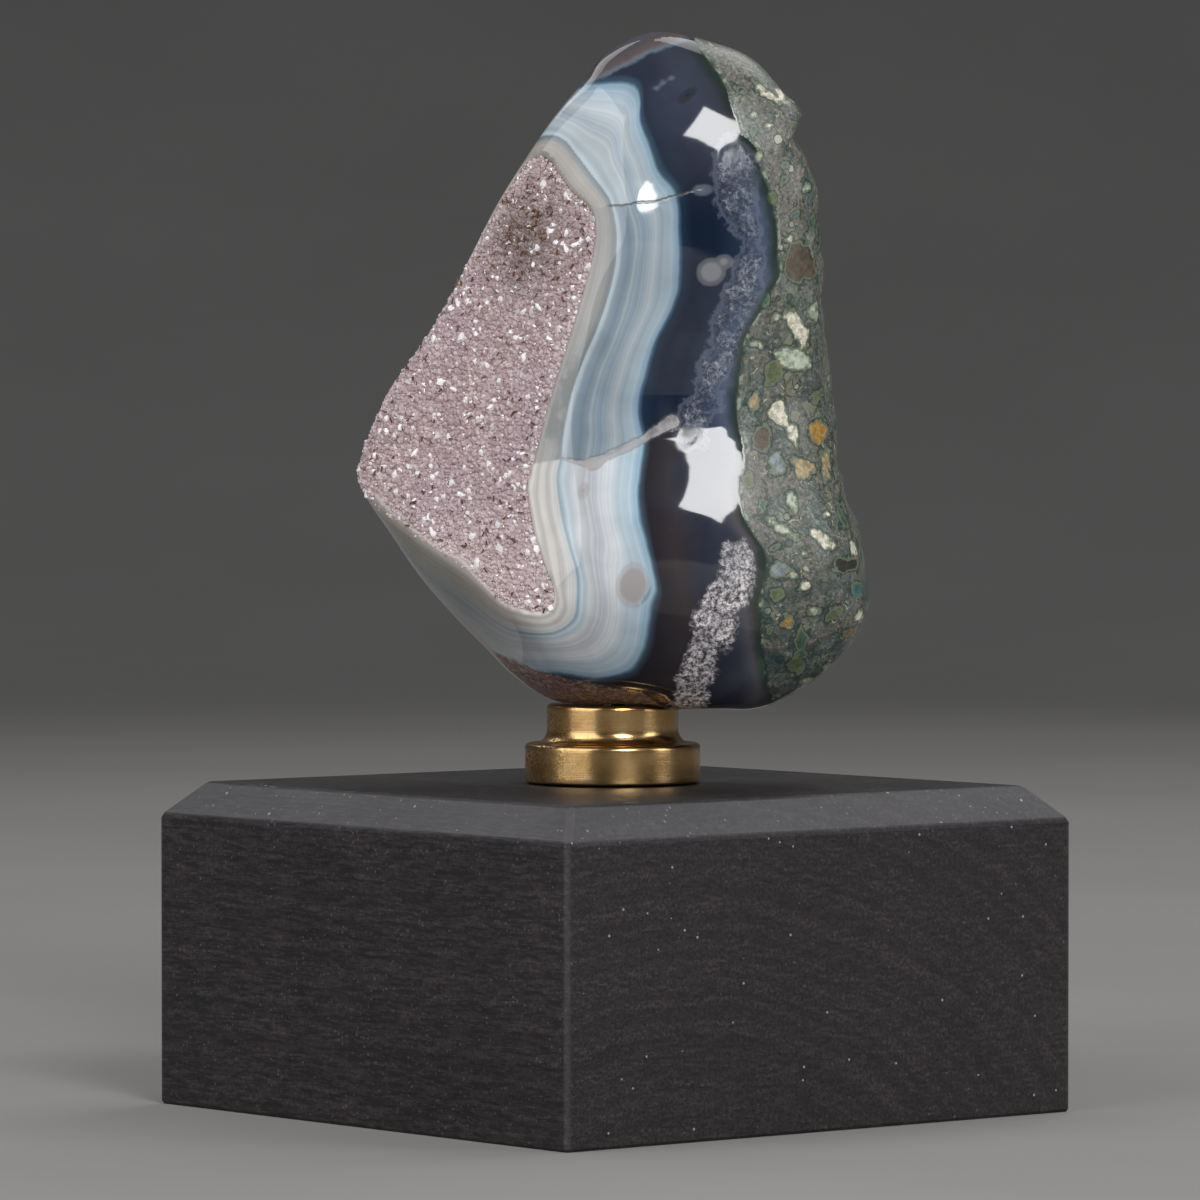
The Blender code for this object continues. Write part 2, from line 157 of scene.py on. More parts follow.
def polygonField(x, y, outline):  # distance inside a closed outline, negative outside
    nextRow = np.roll(outline, -1, axis=0)
    nearest = np.full(len(x), 1e9)
    inside = np.zeros(len(x), bool)
    for (ax, ay), (bx, by) in zip(outline, nextRow):
        runX, runY = bx - ax, by - ay
        t = np.clip(((x - ax) * runX + (y - ay) * runY) / (runX ** 2 + runY ** 2), 0.0, 1.0)
        nearest = np.minimum(nearest, np.hypot(x - ax - runX * t, y - ay - runY * t))
        if by != ay:
            inside ^= ((ay > y) != (by > y)) & (x < ax + (y - ay) / (by - ay) * runX)
    return np.where(inside, nearest, -nearest)


def addMesh(name, points, faces, material, smooth=True):
    mesh = bpy.data.meshes.new(name)
    mesh.from_pydata(points.tolist(), [], faces)
    mesh.update()
    if smooth:
        mesh.shade_smooth()
    mesh.materials.append(material)
    piece = bpy.data.objects.new(name, mesh)
    bpy.context.scene.collection.objects.link(piece)
    return piece


def addValues(piece, name, values):  # a number on every vertex, for the material to read
    attribute = piece.data.attributes.new(name, "FLOAT", "POINT")
    attribute.data.foreach_set("value", np.asarray(values, np.float32))


def ringQuads(rings, columns, closed=False):  # faces between rings; closed joins the last to the first
    row = np.arange(rings if closed else rings - 1)[:, None]
    column = np.arange(columns)[None, :]
    after = (column + 1) % columns
    here, above = row * columns, (row + 1) % rings * columns
    return np.stack([here + column, here + after, above + after, above + column], axis=-1).reshape(-1, 4)


def closedRings(rings, columns):  # faces of a closed skin: pole, rings of columns, pole
    low, high = rings * columns, rings * columns + 1
    around = np.arange(columns)
    nextOne = (around + 1) % columns
    lowFan = np.stack([np.full(columns, low), nextOne, around], axis=-1)
    last = (rings - 1) * columns
    highFan = np.stack([np.full(columns, high), last + around, last + nextOne], axis=-1)
    return ringQuads(rings, columns).tolist() + lowFan.tolist() + highFan.tolist()


# Small tools for materials

def tone(red, green, blue):  # a colour as a screen shows it, 0 to 255, to the shader's linear values
    values = [channel / 255 for channel in (red, green, blue)]
    return [v / 12.92 if v < 0.04045 else ((v + 0.055) / 1.055) ** 2.4 for v in values] + [1.0]


def setInputs(tree, node, sockets):  # each input gets a value or another node's output
    for name, value in sockets.items():
        if isinstance(value, bpy.types.NodeSocket):
            tree.links.new(value, node.inputs[name])
        else:
            node.inputs[name].default_value = value


def addNode(tree, kind, sockets, **settings):
    node = tree.nodes.new("ShaderNode" + kind)
    for name, value in settings.items():
        setattr(node, name, value)
    setInputs(tree, node, sockets)
    return node


def calc(tree, operation, first, second=0.0, third=0.0, clamp=False):
    sockets = {0: first, 1: second, 2: third}
    return addNode(tree, "Math", sockets, operation=operation, use_clamp=clamp).outputs[0]


def times(tree, first, *others):
    for other in others:
        first = calc(tree, "MULTIPLY", first, other)
    return first


def timesPlus(tree, value, factor, added):
    return calc(tree, "MULTIPLY_ADD", value, factor, added)


def centred(tree, value):  # noise runs from 0 to 1: this puts its middle at 0
    return calc(tree, "SUBTRACT", value, 0.5)


def rise(tree, value, low, high, start=0.0, end=1.0):  # smooth step of a value from low to high
    sockets = {0: value, 1: low, 2: high, 3: start, 4: end}
    return addNode(tree, "MapRange", sockets, interpolation_type="SMOOTHSTEP").outputs[0]


def between(tree, value, start, full, fading, gone):  # a smooth step up, then down again
    return times(tree, rise(tree, value, start, full), rise(tree, value, fading, gone, 1.0, 0.0))


def mixValues(tree, amount, first, second):
    return addNode(tree, "Mix", {0: amount, 2: first, 3: second}).outputs[0]


def paint(tree, colour, over, *masks):  # one colour over another, as far as the product of the masks goes
    over = over if isinstance(over, bpy.types.NodeSocket) else tone(*over)
    return addNode(tree, "Mix", {0: times(tree, *masks), 6: colour, 7: over}, data_type="RGBA").outputs[2]


def brighten(tree, colour, amount):
    return addNode(tree, "VectorMath", {0: colour, "Scale": amount}, operation="SCALE").outputs[0]


def colourRamp(tree, value, stops, easing="LINEAR"):  # stops: position, red, green, blue
    node = addNode(tree, "ValToRGB", {0: value})
    node.color_ramp.interpolation = easing
    elements = node.color_ramp.elements
    while len(elements) < len(stops):
        elements.new(0.5)
    for element, (position, *colour) in zip(elements, stops):
        element.position = position
        element.color = tone(*colour)
    return node.outputs[0]


def readValue(tree, name):
    return addNode(tree, "Attribute", {}, attribute_name=name).outputs["Fac"]


def noise(tree, where, scale, detail=4.0, roughness=0.55, distortion=0.0):
    sockets = {"Vector": where, "Scale": scale, "Detail": detail, "Roughness": roughness}
    sockets["Distortion"] = distortion
    return addNode(tree, "TexNoise", sockets).outputs[0]


def streaks(tree, along, scale, detail=3.0, roughness=0.5):  # noise that changes along one value only
    sockets = {"W": along, "Scale": scale, "Detail": detail, "Roughness": roughness}
    return addNode(tree, "TexNoise", sockets, noise_dimensions="1D").outputs[0]


def split(tree, where):
    return addNode(tree, "SeparateXYZ", {0: where}).outputs


def stretched(tree, where, scale, shift=(0.0, 0.0, 0.0)):
    return addNode(tree, "Mapping", {"Vector": where, "Location": shift, "Scale": scale}).outputs[0]


def startMaterial(name):
    material = bpy.data.materials.new(name)
    material.use_nodes = True
    tree = material.node_tree
    return material, tree, tree.nodes["Principled BSDF"], addNode(tree, "TexCoord", {}).outputs["Object"]


def bump(tree, shader, height, distance, strength):
    node = addNode(tree, "Bump", {"Height": height, "Distance": distance, "Strength": strength})
    tree.links.new(node.outputs[0], shader.inputs["Normal"])


def startGroup(name, inputs, outputs):
    group = bpy.data.node_groups.new(name, "ShaderNodeTree")
    for label, kind, value in inputs:
        socket = group.interface.new_socket(label, in_out="INPUT", socket_type="NodeSocket" + kind)
        if value is not None:
            socket.default_value = value
    for label, kind in outputs:
        group.interface.new_socket(label, in_out="OUTPUT", socket_type="NodeSocket" + kind)
    return group, group.nodes.new("NodeGroupInput").outputs, group.nodes.new("NodeGroupOutput").inputs


def makeSpecks():  # scattered round specks: cells of which only some hold a speck of random size
    inputs = [("Vector", "Vector", None), ("Scale", "Float", 100.0)]
    inputs += [("Amount", "Float", 0.3), ("Size", "Float", 0.25)]
    group, given, result = startGroup("specks", inputs, [("Mask", "Float")])
    cells = addNode(group, "TexVoronoi", {"Vector": given["Vector"], "Scale": given["Scale"]}).outputs
    chance = addNode(group, "SeparateColor", {0: cells["Color"]}).outputs
    chosen = calc(group, "LESS_THAN", chance[0], given["Amount"])
    size = times(group, given["Size"], calc(group, "ADD", chance[1], 0.3))
    disc = rise(group, cells["Distance"], times(group, size, 0.7), size, 1.0, 0.0)
    group.links.new(times(group, disc, chosen), result["Mask"])
    return group


specksGroup = makeSpecks()


def specks(tree, where, scale, amount, size):
    sockets = {"Vector": where, "Scale": scale, "Amount": amount, "Size": size}
    return addNode(tree, "Group", sockets, node_tree=specksGroup).outputs["Mask"]


# The stone: its form, in metres, as (across, height) and (height, depth)
stone = {
    "outline": [
        (0.0065, 0.1685), (0.0159, 0.1666), (0.0217, 0.1641), (0.0265, 0.1591), (0.0292, 0.1553),
        (0.0283, 0.1524), (0.0303, 0.1478), (0.0317, 0.1416), (0.0325, 0.1340), (0.0327, 0.1265),
        (0.0331, 0.1172), (0.0339, 0.1102), (0.0350, 0.1025), (0.0368, 0.0955), (0.0388, 0.0902),
        (0.0402, 0.0826), (0.0397, 0.0763), (0.0369, 0.0710), (0.0313, 0.0663), (0.0254, 0.0637),
        (0.0177, 0.0624), (0.0080, 0.0627), (-0.0030, 0.0630), (-0.0103, 0.0644), (-0.0160, 0.0675),
        (-0.0205, 0.0720), (-0.0249, 0.0763), (-0.0305, 0.0826), (-0.0355, 0.0901), (-0.0387, 0.0951),
        (-0.0400, 0.0992), (-0.0393, 0.1030), (-0.0363, 0.1102), (-0.0341, 0.1142), (-0.0296, 0.1202),
        (-0.0257, 0.1265), (-0.0219, 0.1340), (-0.0180, 0.1416), (-0.0136, 0.1485), (-0.0089, 0.1553),
        (-0.0046, 0.1606), (-0.0010, 0.1652),
    ],
    "centre": (0.0020, 0.1040),
    "front": [
        (0.062, -0.0225), (0.078, -0.0256), (0.092, -0.0238), (0.107, -0.0210), (0.120, -0.0215),
        (0.137, -0.0238), (0.150, -0.0236), (0.160, -0.0215), (0.170, -0.0180),
    ],
    "back": [
        (0.062, 0.0190), (0.078, 0.0245), (0.095, 0.0250), (0.115, 0.0220), (0.135, 0.0170),
        (0.155, 0.0130), (0.170, 0.0100),
    ],
    "rim": [
        (0.062, 0.0000), (0.080, 0.0000), (0.100, -0.0010), (0.125, -0.0045), (0.148, -0.0090),
        (0.160, -0.0070), (0.170, -0.0050),
    ],
    "hills": [  # across, height, spread and rise of low swellings on the front
        (0.0005, 0.1375, 0.0056, 0.0017), (0.0130, 0.1640, 0.0070, 0.0022), (0.0110, 0.0920, 0.0080, 0.0008),
    ],
    "uneven": 0.00010,
    "unevenSize": 0.0170,
    "rimBlend": 0.0040,
    "rimDeepest": 0.0100,
    "thinnestBack": 0.0090,
    "roundness": 2.7,
    "squareTop": 1.3,
    "squareTopFrom": (0.136, 0.160),
    "notchesFrom": 0.86,  # share of the way out where the outline's notches begin to show
    "notchesSmoothed": 20,  # half degrees
    "fieldScale": 0.030,
    "druzyFace": ((-0.0100, -0.0215, 0.0800), (-0.598, -0.797, 0.087), 0.0014),
    "lowerLeftFace": ((-0.0127, -0.0212, 0.0766), (-0.724, -0.341, -0.600), 0.0026),
    "rindStart": 0.0200,
    "rindFull": 0.0240,
    "rindSwell": 0.0009,
    "rindSwellSize": 0.0240,
    "rindLump": 0.0004,
    "rindLumpSize": 0.0085,
    "rockGrains": [(0.00016, 0.0032, 5), (0.00009, 0.0013, 6)],  # rise, size and seed
    "frostSunk": 0.00006,
    "lowerFrostSunk": 0.00010,
    "lowerFrostGrain": 0.0011,
    # rays start from this line inside the stone
    "core": [(0.0040, 0.0000, 0.0840), (0.0075, -0.0040, 0.1460)],
    "longestRay": 0.09,
    "halvings": 26,
    "rows": 276,
    "columns": 356,
    "evenRows": 0.35,  # the rest of the rows draws together at the middle height
    "frontCloser": 0.45,
    "seatHeight": 0.0638,
    "seatRadius": 0.01065,
    "seatEdge": 0.0010,
    "seatFall": 0.0016,
    "seatReach": 0.0020,
    "seatBelow": 0.080,
    "pocketDepth": 0.0016,
    "pocketEdge": (-0.0002, 0.0004),  # where the pocket's wall runs, from its outline inwards
    "pocketLowest": (-0.0085, -0.0065),  # heights over the druse's plane where the pocket may begin
    "pocketHighest": 0.0030,
    "rimUnder": 0.0015,  # lower than this the crust runs over the stone's rim
    "rimReach": 0.0030,  # and so it does nearer than this to the druse's far edge
}
outlineCurve = closedCurve(stone["outline"]) - np.array(stone["centre"])
outlineAngle = np.arctan2(outlineCurve[:, 1], outlineCurve[:, 0])
outlineReach = np.hypot(outlineCurve[:, 0], outlineCurve[:, 1])
evenAngle = np.linspace(-math.pi, math.pi, 720, endpoint=False)
evenReach = np.interp(evenAngle, outlineAngle, outlineReach, period=2 * math.pi)
# the outline's notches fade towards the stone's middle
fade = 3 * stone["notchesSmoothed"]
spread = np.exp(-0.5 * (np.arange(-fade, fade + 1) / stone["notchesSmoothed"]) ** 2)
paddedReach = np.concatenate([evenReach[-fade:], evenReach, evenReach[:fade]])
softReach = np.convolve(paddedReach, spread / spread.sum(), "valid")


def aboveFace(face, spots):  # distance outside a ground face
    unit = np.array(face[1]) / np.linalg.norm(face[1])
    return (spots - np.array(face[0])) @ unit


def depthOnFace(face, across, height):  # depth at which a ground face is met
    point, direction = face[0], face[1]
    return point[1] - ((across - point[0]) * direction[0] + (height - point[2]) * direction[2]) / direction[1]


def rimDepth(across, height):  # depth of the stone's outline: where the ground faces reach it
    rim = smoothProfile(stone["rim"], height)
    for name in ("druzyFace", "lowerLeftFace"):
        rim = softMax(rim, depthOnFace(stone[name], across, height), stone["rimBlend"])
    return np.minimum(rim, stone["rimDeepest"])


# A pillow between the front and back surfaces inside the outline, (reach^n + bulge^n)^(1/n) = 1,
# with the flat ground faces cut off it; the field is negative inside
def stoneField(spots):
    across, depth, height = spots.T
    angle = np.arctan2(height - stone["centre"][1], across - stone["centre"][0])
    edge = np.interp(angle, outlineAngle, outlineReach, period=2 * math.pi)
    soft = np.interp(angle, evenAngle, softReach, period=2 * math.pi)
    straight = np.hypot(across - stone["centre"][0], height - stone["centre"][1])
    edge = soft + (edge - soft) * smoothstep(stone["notchesFrom"], 1.0, straight / soft)
    reach = straight / edge
    rim = rimDepth(across, height)
    front = smoothProfile(stone["front"], height)
    for hillAcross, hillHeight, wide, tall in stone["hills"]:
        front -= tall * np.exp(-0.5 * ((across - hillAcross) ** 2 + (height - hillHeight) ** 2) / wide ** 2)
    front += stone["uneven"] * lumps(spots * np.array([1.0, 0.0, 1.0]), stone["unevenSize"], 8, 8)
    back = np.maximum(smoothProfile(stone["back"], height), rim + stone["thinnestBack"])
    swell = np.where(depth < rim, rim - front, back - rim)
    power = stone["roundness"] + stone["squareTop"] * smoothstep(*stone["squareTopFrom"], height)
    pillow = (reach ** power + np.abs((depth - rim) / swell) ** power) ** (1 / power)
    field = (pillow - 1.0) * stone["fieldScale"]
    for name in ("druzyFace", "lowerLeftFace"):
        field = softMax(field, aboveFace(stone[name], spots), stone[name][2])
    return field


# The druse's hollow on its ground face
druse = {
    "pocket": [
        (-0.0118, 0.1487), (-0.0097, 0.1475), (-0.0065, 0.1433), (-0.0034, 0.1400), (-0.0030, 0.1351),
        (-0.0051, 0.1267), (-0.0083, 0.1166), (-0.0108, 0.1082), (-0.0130, 0.0997), (-0.0134, 0.0970),
        (-0.0123, 0.0904), (-0.0105, 0.0851), (-0.0094, 0.0824), (-0.0096, 0.0798), (-0.0113, 0.0787),
        (-0.0141, 0.0791), (-0.0173, 0.0802), (-0.0197, 0.0825), (-0.0236, 0.0868), (-0.0269, 0.0882),
        (-0.0326, 0.0926), (-0.0357, 0.0951), (-0.0381, 0.0981), (-0.0383, 0.1012), (-0.0372, 0.1048),
        (-0.0344, 0.1108), (-0.0305, 0.1166), (-0.0257, 0.1241), (-0.0211, 0.1321), (-0.0170, 0.1402),
        (-0.0140, 0.1458),
    ],
    "outline": [
        (-0.0118, 0.1489), (-0.0095, 0.1477), (-0.0063, 0.1434), (-0.0032, 0.1400), (-0.0028, 0.1351),
        (-0.0049, 0.1267), (-0.0081, 0.1166), (-0.0106, 0.1082), (-0.0128, 0.0997), (-0.0133, 0.0970),
        (-0.0121, 0.0904), (-0.0103, 0.0851), (-0.0093, 0.0824), (-0.0095, 0.0796), (-0.0113, 0.0785),
        (-0.0141, 0.0788), (-0.0173, 0.0798), (-0.0197, 0.0818), (-0.0238, 0.0854), (-0.0290, 0.0886),
        (-0.0352, 0.0925), (-0.0392, 0.0958), (-0.0412, 0.0988), (-0.0408, 0.1024), (-0.0390, 0.1064),
        (-0.0358, 0.1128), (-0.0316, 0.1190), (-0.0272, 0.1258), (-0.0224, 0.1338), (-0.0180, 0.1414),
        (-0.0146, 0.1468),
    ],
    "middle": (-0.0205, 0.1060),
    "farEdge": (-0.0118, 0.1487),  # upper end of the edge that runs down the left
    "leftward": (-0.873, 0.487),  # square to that edge, outwards
    "searched": (-0.0120, 0.0030),  # heights over the druse's plane between which the stone is found
    "halvings": 18,
    "bottom": 0.0022,
    "thinnest": 0.0004,
    "underStone": 0.00030,
    "middleLower": 0.00020,
    "middleStart": 0.0020,
    "edgeInset": 0.00012,
    "edgeDrop": 0.00020,
    "wave": 0.00022,
    "waveSize": 0.0120,
    "grain": 0.00008,
    "grainSize": 0.0005,
    "rings": 70,
    "spokes": 240,
    "seed": 11,
    "spacing": 0.00056,
    "rowShare": 0.87,
    "jitter": 0.42,
    "nearestEdge": 0.00005,
    "lowest": -0.0110,
    "width": (0.00026, 0.00062),  # half widths of the crystals
    "widerShare": 0.12,
    "wider": 1.3,
    "edgeWidth": 0.62,
    "edgeWidthUntil": 0.0009,
    "tall": (0.00008, 0.00042),
    "lean": 0.42,
    "narrow": (0.70, 1.0),
    "peak": 0.62,
    "taper": 0.10,
    "uneven": (0.80, 1.20),
    "rooted": 0.00045,
    "sunk": 0.00012,
    "bigShare": 0.013,
    "bigWidth": (0.00058, 0.00092),
    "bigTaller": 0.00018,
    "bigNarrow": (0.45, 0.95),
    "bigPeak": 0.20,
    # shares of crystals painted near white as painted glints: among the big ones, and everywhere and around a
    # column
    "bigGlintShare": 0.8,
    "paintedGlint": (0.018, 0.03, 560, 45),  # share everywhere, share added, where in the photograph, how wide
    "smoky": (528, 238, 42, 50),  # middle and spread in the photograph
    "lower": (430, 570),
    "border": (0.0003, 0.0022),
    "needles": 220,
    "needleOdds": (0.10, 1.6, 0.35),  # everywhere, in the smoky part, along the border
    "needleBorder": 0.004,
    "needleLift": 0.00050,
    "needleWidth": (0.00010, 0.00017),
    "needleRise": (-0.15, 0.45),
    "needleLength": (0.00010, 0.00042),
    "tones": [(0.0, 168, 146, 148), (0.35, 182, 160, 163), (0.7, 194, 174, 177), (1.0, 212, 198, 198)],
    "lilac": (176, 158, 170),
    "tints": [
        ("smoky", 0.72, (112, 98, 86)), ("lower", 0.30, (226, 208, 204)), ("border", 0.35, (226, 214, 212)),
        # the near-white tint on chosen crystals is a painted glint
        ("paintedGlint", 0.95, (255, 252, 254)), ("speck", 0.95, (98, 58, 28)),
    ],
}
facePoint = np.array(stone["druzyFace"][0])
faceOut = np.array(stone["druzyFace"][1]) / np.linalg.norm(stone["druzyFace"][1])
faceSide = np.cross([0.0, 0.0, 1.0], faceOut)
faceSide /= np.linalg.norm(faceSide)
faceUp = np.cross(faceOut, faceSide)


def toFace(spots):  # stone places to (sideways, upwards, outwards) of the druse's face
    offset = spots - facePoint
    return offset @ faceSide, offset @ faceUp, offset @ faceOut


def fromFace(side, up, out):
    return facePoint + np.outer(side, faceSide) + np.outer(up, faceUp) + np.outer(out, faceOut)


def faceCurve(points, samples):
    flat = closedCurve(points, samples) if samples else np.array([points])
    spots = np.column_stack([flat[:, 0], depthOnFace(stone["druzyFace"], flat[:, 0], flat[:, 1]), flat[:, 1]])
    return np.column_stack(toFace(spots)[:2])


druseEdge = faceCurve(druse["outline"], 5)
pocketEdge = faceCurve(druse["pocket"], 5)
druseMiddle = faceCurve(druse["middle"], 0)[0]

# What the photograph shows on the polished stone, in its pixels
marks = {
    "pole": (455, 420),  # the bands' boundaries are read as distances from here
    "greyToWhite": [
        (540, 138), (562, 139), (577, 156), (594, 178), (611, 204), (617, 240), (613, 280), (599, 325),
        (585, 357), (572, 394), (564, 434), (562, 458), (558, 480), (562, 514), (570, 546), (578, 574),
        (579, 603), (573, 622), (548, 634), (505, 628), (462, 596), (415, 562), (378, 524), (345, 495),
        (335, 440), (375, 360), (440, 250), (500, 160),
    ],
    "whiteToDark": [
        (540, 70), (580, 84), (635, 85), (640, 120), (647, 141), (658, 170), (677, 195), (679, 234),
        (680, 280), (674, 303), (665, 323), (654, 346), (647, 369), (640, 394), (639, 416), (644, 440),
        (641, 469), (639, 494), (640, 521), (646, 546), (652, 567), (656, 589), (650, 606), (646, 635),
        (641, 655), (631, 669), (613, 676), (591, 677), (560, 672), (500, 668), (440, 634), (370, 560),
        (310, 490), (310, 400), (400, 250), (480, 120),
    ],
    "darkToRind": [
        (640, -20), (702, 54), (723, 84), (732, 109), (741, 132), (757, 150), (761, 173), (771, 201),
        (776, 235), (776, 260), (779, 275), (769, 292), (757, 315), (744, 338), (739, 373), (736, 400),
        (737, 420), (742, 440), (744, 467), (738, 490), (744, 518), (755, 538), (764, 552), (764, 575),
        (757, 605), (761, 644), (765, 678), (767, 704), (740, 760), (640, 790), (500, 760), (380, 660),
        (240, 500), (240, 380), (340, 160), (480, 20),
    ],
    "upperCrack": [(560, 214), (611, 206), (655, 201), (700, 189), (760, 178)],
    "lowerCrack": [
        (520, 466), (563, 459), (590, 463), (606, 457), (640, 440), (662, 426), (700, 432), (760, 440),
    ],
    "crackFill": [
        (563, 459, 0.6), (584, 463, 2.0), (594, 463, 6.5), (606, 457, 3.5), (640, 441, 3.5), (661, 428, 5.0),
        (672, 422, 7.0),
    ],
    "frost": [
        (732, 158, 13), (736, 172, 19), (735, 192, 15), (746, 225, 9), (751, 252, 10), (745, 292, 13),
        (728, 330, 12), (716, 370, 9), (704, 402, 10), (694, 422, 12), (688, 436, 9),
    ],
    "lowerFrost": [
        (738, 556, 17), (736, 580, 22), (722, 606, 20), (712, 632, 20), (704, 662, 17), (692, 690, 16),
        (684, 712, 15),
    ],
    "raw": [(400, 575), (440, 612), (478, 645), (541, 671), (598, 686), (668, 697), (760, 708)],
    "crown": [(560, 96), (601, 79), (625, 68), (647, 56), (683, 43), (740, 20)],
    "hiddenFrom": (0.0, 0.0030),  # metres behind the outline over which the back takes over
    "backStart": (-0.0010, 0.0060),
    "fromDruse": [(0, 0), (2.5, 1), (9, 2), (18, 3), (26, 4), (60, 8)],  # millimetres and layer, out of sight
    "backWaver": 0.10,
    "backWaverSize": 0.020,
    "rindLayer": 40,  # pixels of rind that count as one layer
    "underFace": (-0.0030, -0.0001),
    "underUntil": (575, 455),
    "rawLifted": (640, 700, 40),
    "wander": [(3.4, 13.0), (1.6, 6.0)],  # pixels and size of the crookedness of the spots
    "depthScale": 6400,  # pixels to a metre of depth
    "pixel": 0.000157,  # metres
    "blobs": [  # centre, half sizes, tilt in degrees, tone
        (773, 95, 22, 5.5, 33, "cream"), (752, 116, 4, 4, 0, "mint"), (768, 125, 3.5, 3.5, 0, "cream"),
        (752, 131, 4, 3.5, 0, "green"), (738, 88, 7, 3, 20, "blackSpotAndPitShade"), (757, 157, 3, 5, 0, "cream"),
        (784, 180, 4, 4, 0, "green"), (786, 164, 3.5, 4, 0, "green"), (773, 198, 4, 5, 0, "moss"),
        (805, 189, 4, 4, 0, "mint"), (794, 214, 4.5, 4.5, 0, "teal"), (788, 239, 5, 4.5, 0, "cream"),
        (801, 262, 17, 21, 0, "brown"), (813, 254, 5, 23, 0, "slate"), (776, 317, 4, 4, 0, "mint"),
        (796, 325, 9, 23, -20, "cream"), (757, 345, 8, 5, 20, "mint"), (792, 359, 17, 12, 15, "mint"),
        (773, 373, 10, 10, 0, "moss"), (815, 313, 5, 10, 0, "mint"), (755, 402, 7, 9, 0, "sand"),
        (771, 383, 8, 4, 0, "moss"), (780, 412, 12, 14, 0, "cream"), (793, 432, 5, 18, -25, "cream"),
        (820, 433, 9, 11, 0, "ochre"), (827, 463, 6, 15, 0, "sand"), (762, 440, 9, 13, 0, "brown"),
        (776, 464, 8, 12, 0, "slate"), (803, 468, 13, 10, 30, "sand"), (803, 468, 9, 6, 30, "brown"),
        (750, 480, 7, 7, 0, "moss"), (792, 502, 6, 12, 0, "mint"), (824, 513, 4, 4, 0, "cream"),
        (778, 528, 18, 5, 35, "mint"), (817, 536, 16, 6, 38, "cream"), (842, 515, 5, 14, -20, "green"),
        (851, 548, 4, 8, 0, "cream"), (801, 550, 4, 4, 0, "mint"), (778, 570, 12, 8, 0, "slate"),
        (792, 573, 6, 4, 0, "mint"), (801, 584, 6, 6, 0, "cream"), (777, 595, 8, 8, 0, "moss"),
        (842, 563, 14, 8, 0, "blackSpotAndPitShade"), (854, 589, 8, 8, 0, "teal"), (856, 615, 7, 6, 0, "cream"),
        (850, 631, 9, 5, 0, "rust"), (788, 621, 5, 7, 0, "ochre"), (770, 629, 4, 4, 0, "moss"),
        (799, 644, 6, 19, 0, "green"), (796, 664, 8, 12, 0, "moss"), (829, 665, 14, 3, -40, "mint"),
        (806, 683, 14, 3, -25, "mint"), (765, 300, 4, 7, 10, "green"), (812, 222, 3, 7, 0, "green"),
        (818, 395, 5, 8, -10, "moss"), (763, 505, 5, 8, 20, "green"), (830, 612, 6, 9, 20, "moss"),
        (760, 668, 4, 9, 0, "green"), (812, 610, 5, 5, 0, "mint"), (776, 548, 5, 4, 0, "green"),
        (711, 272, 14, 13, 0, "smoke"), (724, 262, 9, 7, 0, "smoke"), (703, 190, 9, 5, 0, "haze"),
        (633, 585, 17, 22, 8, "disc"), (645, 596, 9, 2.4, -56, "brown"), (583, 491, 8, 5, -70, "disc"),
        # the two dark spots in the polished agate on the next line are pits: their hollows are painted dark,
        # a painted shade
        (590, 464, 8, 6, -10, "lump"), (687, 95, 10, 5, -40, "blackSpotAndPitShade"), (688, 434, 10, 5, -15, "blackSpotAndPitShade"),
        (663, 82, 3, 2, 0, "haze"), (671, 78, 3, 2, 0, "haze"), (657, 88, 3, 2, 0, "haze"),
    ],
    "backBlobs": 190,
    "backKinds": ["cream", "mint", "sand", "moss", "green", "slate", "brown", "mint", "ochre"],
    "backSeed": 41,
    "backSize": (0.0004, 0.0014),
    "backVaried": (0.8, 1.6),
    "backLonger": 0.75,
    "backCrooked": (0.00045, 0.0021),
    # one dark tone serves black spots in the rock and painted shade in pits
    "tones": {
        "cream": (226, 220, 200), "mint": (186, 196, 176), "sand": (180, 160, 122), "ochre": (182, 138, 70),
        "rust": (140, 92, 44), "brown": (88, 72, 60), "blackSpotAndPitShade": (34, 30, 28), "slate": (138, 148, 152),
        "moss": (98, 108, 74), "green": (62, 96, 76), "teal": (52, 100, 102), "smoke": (128, 129, 134),
        "haze": (120, 128, 144), "disc": (164, 157, 156), "lump": (176, 170, 164),
    },
}
unseen = -60.0  # far outside every spot and vein


# Where rays from the sliding core line leave the field, as a closed grid of columns and rows
def castStone():
    rows, columns = stone["rows"], stone["columns"]
    t = np.linspace(-1, 1, rows + 2)
    elevation = (stone["evenRows"] * t + (1 - stone["evenRows"]) * t ** 3) * math.pi / 2
    turn = np.linspace(-1, 1, columns, endpoint=False)
    # closer together on the photographed side
    azimuth = -math.pi / 2 + math.pi * turn - stone["frontCloser"] * np.sin(math.pi * turn)
    core = np.array(stone["core"])
    origin = core[0] + (core[1] - core[0]) * ((t + 1) / 2)[:, None]
    level, lift = np.cos(elevation[1:-1])[:, None], np.sin(elevation[1:-1])[:, None]
    lift = np.broadcast_to(lift, (rows, columns))
    heading = np.stack([level * np.cos(azimuth), level * np.sin(azimuth), lift], -1).reshape(-1, 3)
    heading = np.concatenate([heading, [[0, 0, -1.0], [0, 0, 1.0]]])
    start = np.concatenate([np.repeat(origin[1:-1], columns, axis=0), origin[:1], origin[-1:]])
    near, far = np.zeros(len(start)), np.full(len(start), stone["longestRay"])
    for step in range(stone["halvings"]):
        middle = (near + far) / 2
        outside = stoneField(start + heading * middle[:, None]) > 0
        far = np.where(outside, middle, far)
        near = np.where(outside, near, middle)
    return start, heading, (near + far) / 2


def reachAt(angle, x, y):  # distance of a closed outline from its pole, at an angle
    return np.interp(angle, np.arctan2(y, x), np.hypot(x, y), period=2 * math.pi)


def markAt(name, x):  # height in the photograph of a line across it
    return np.interp(x, *np.array(marks[name], float).T)


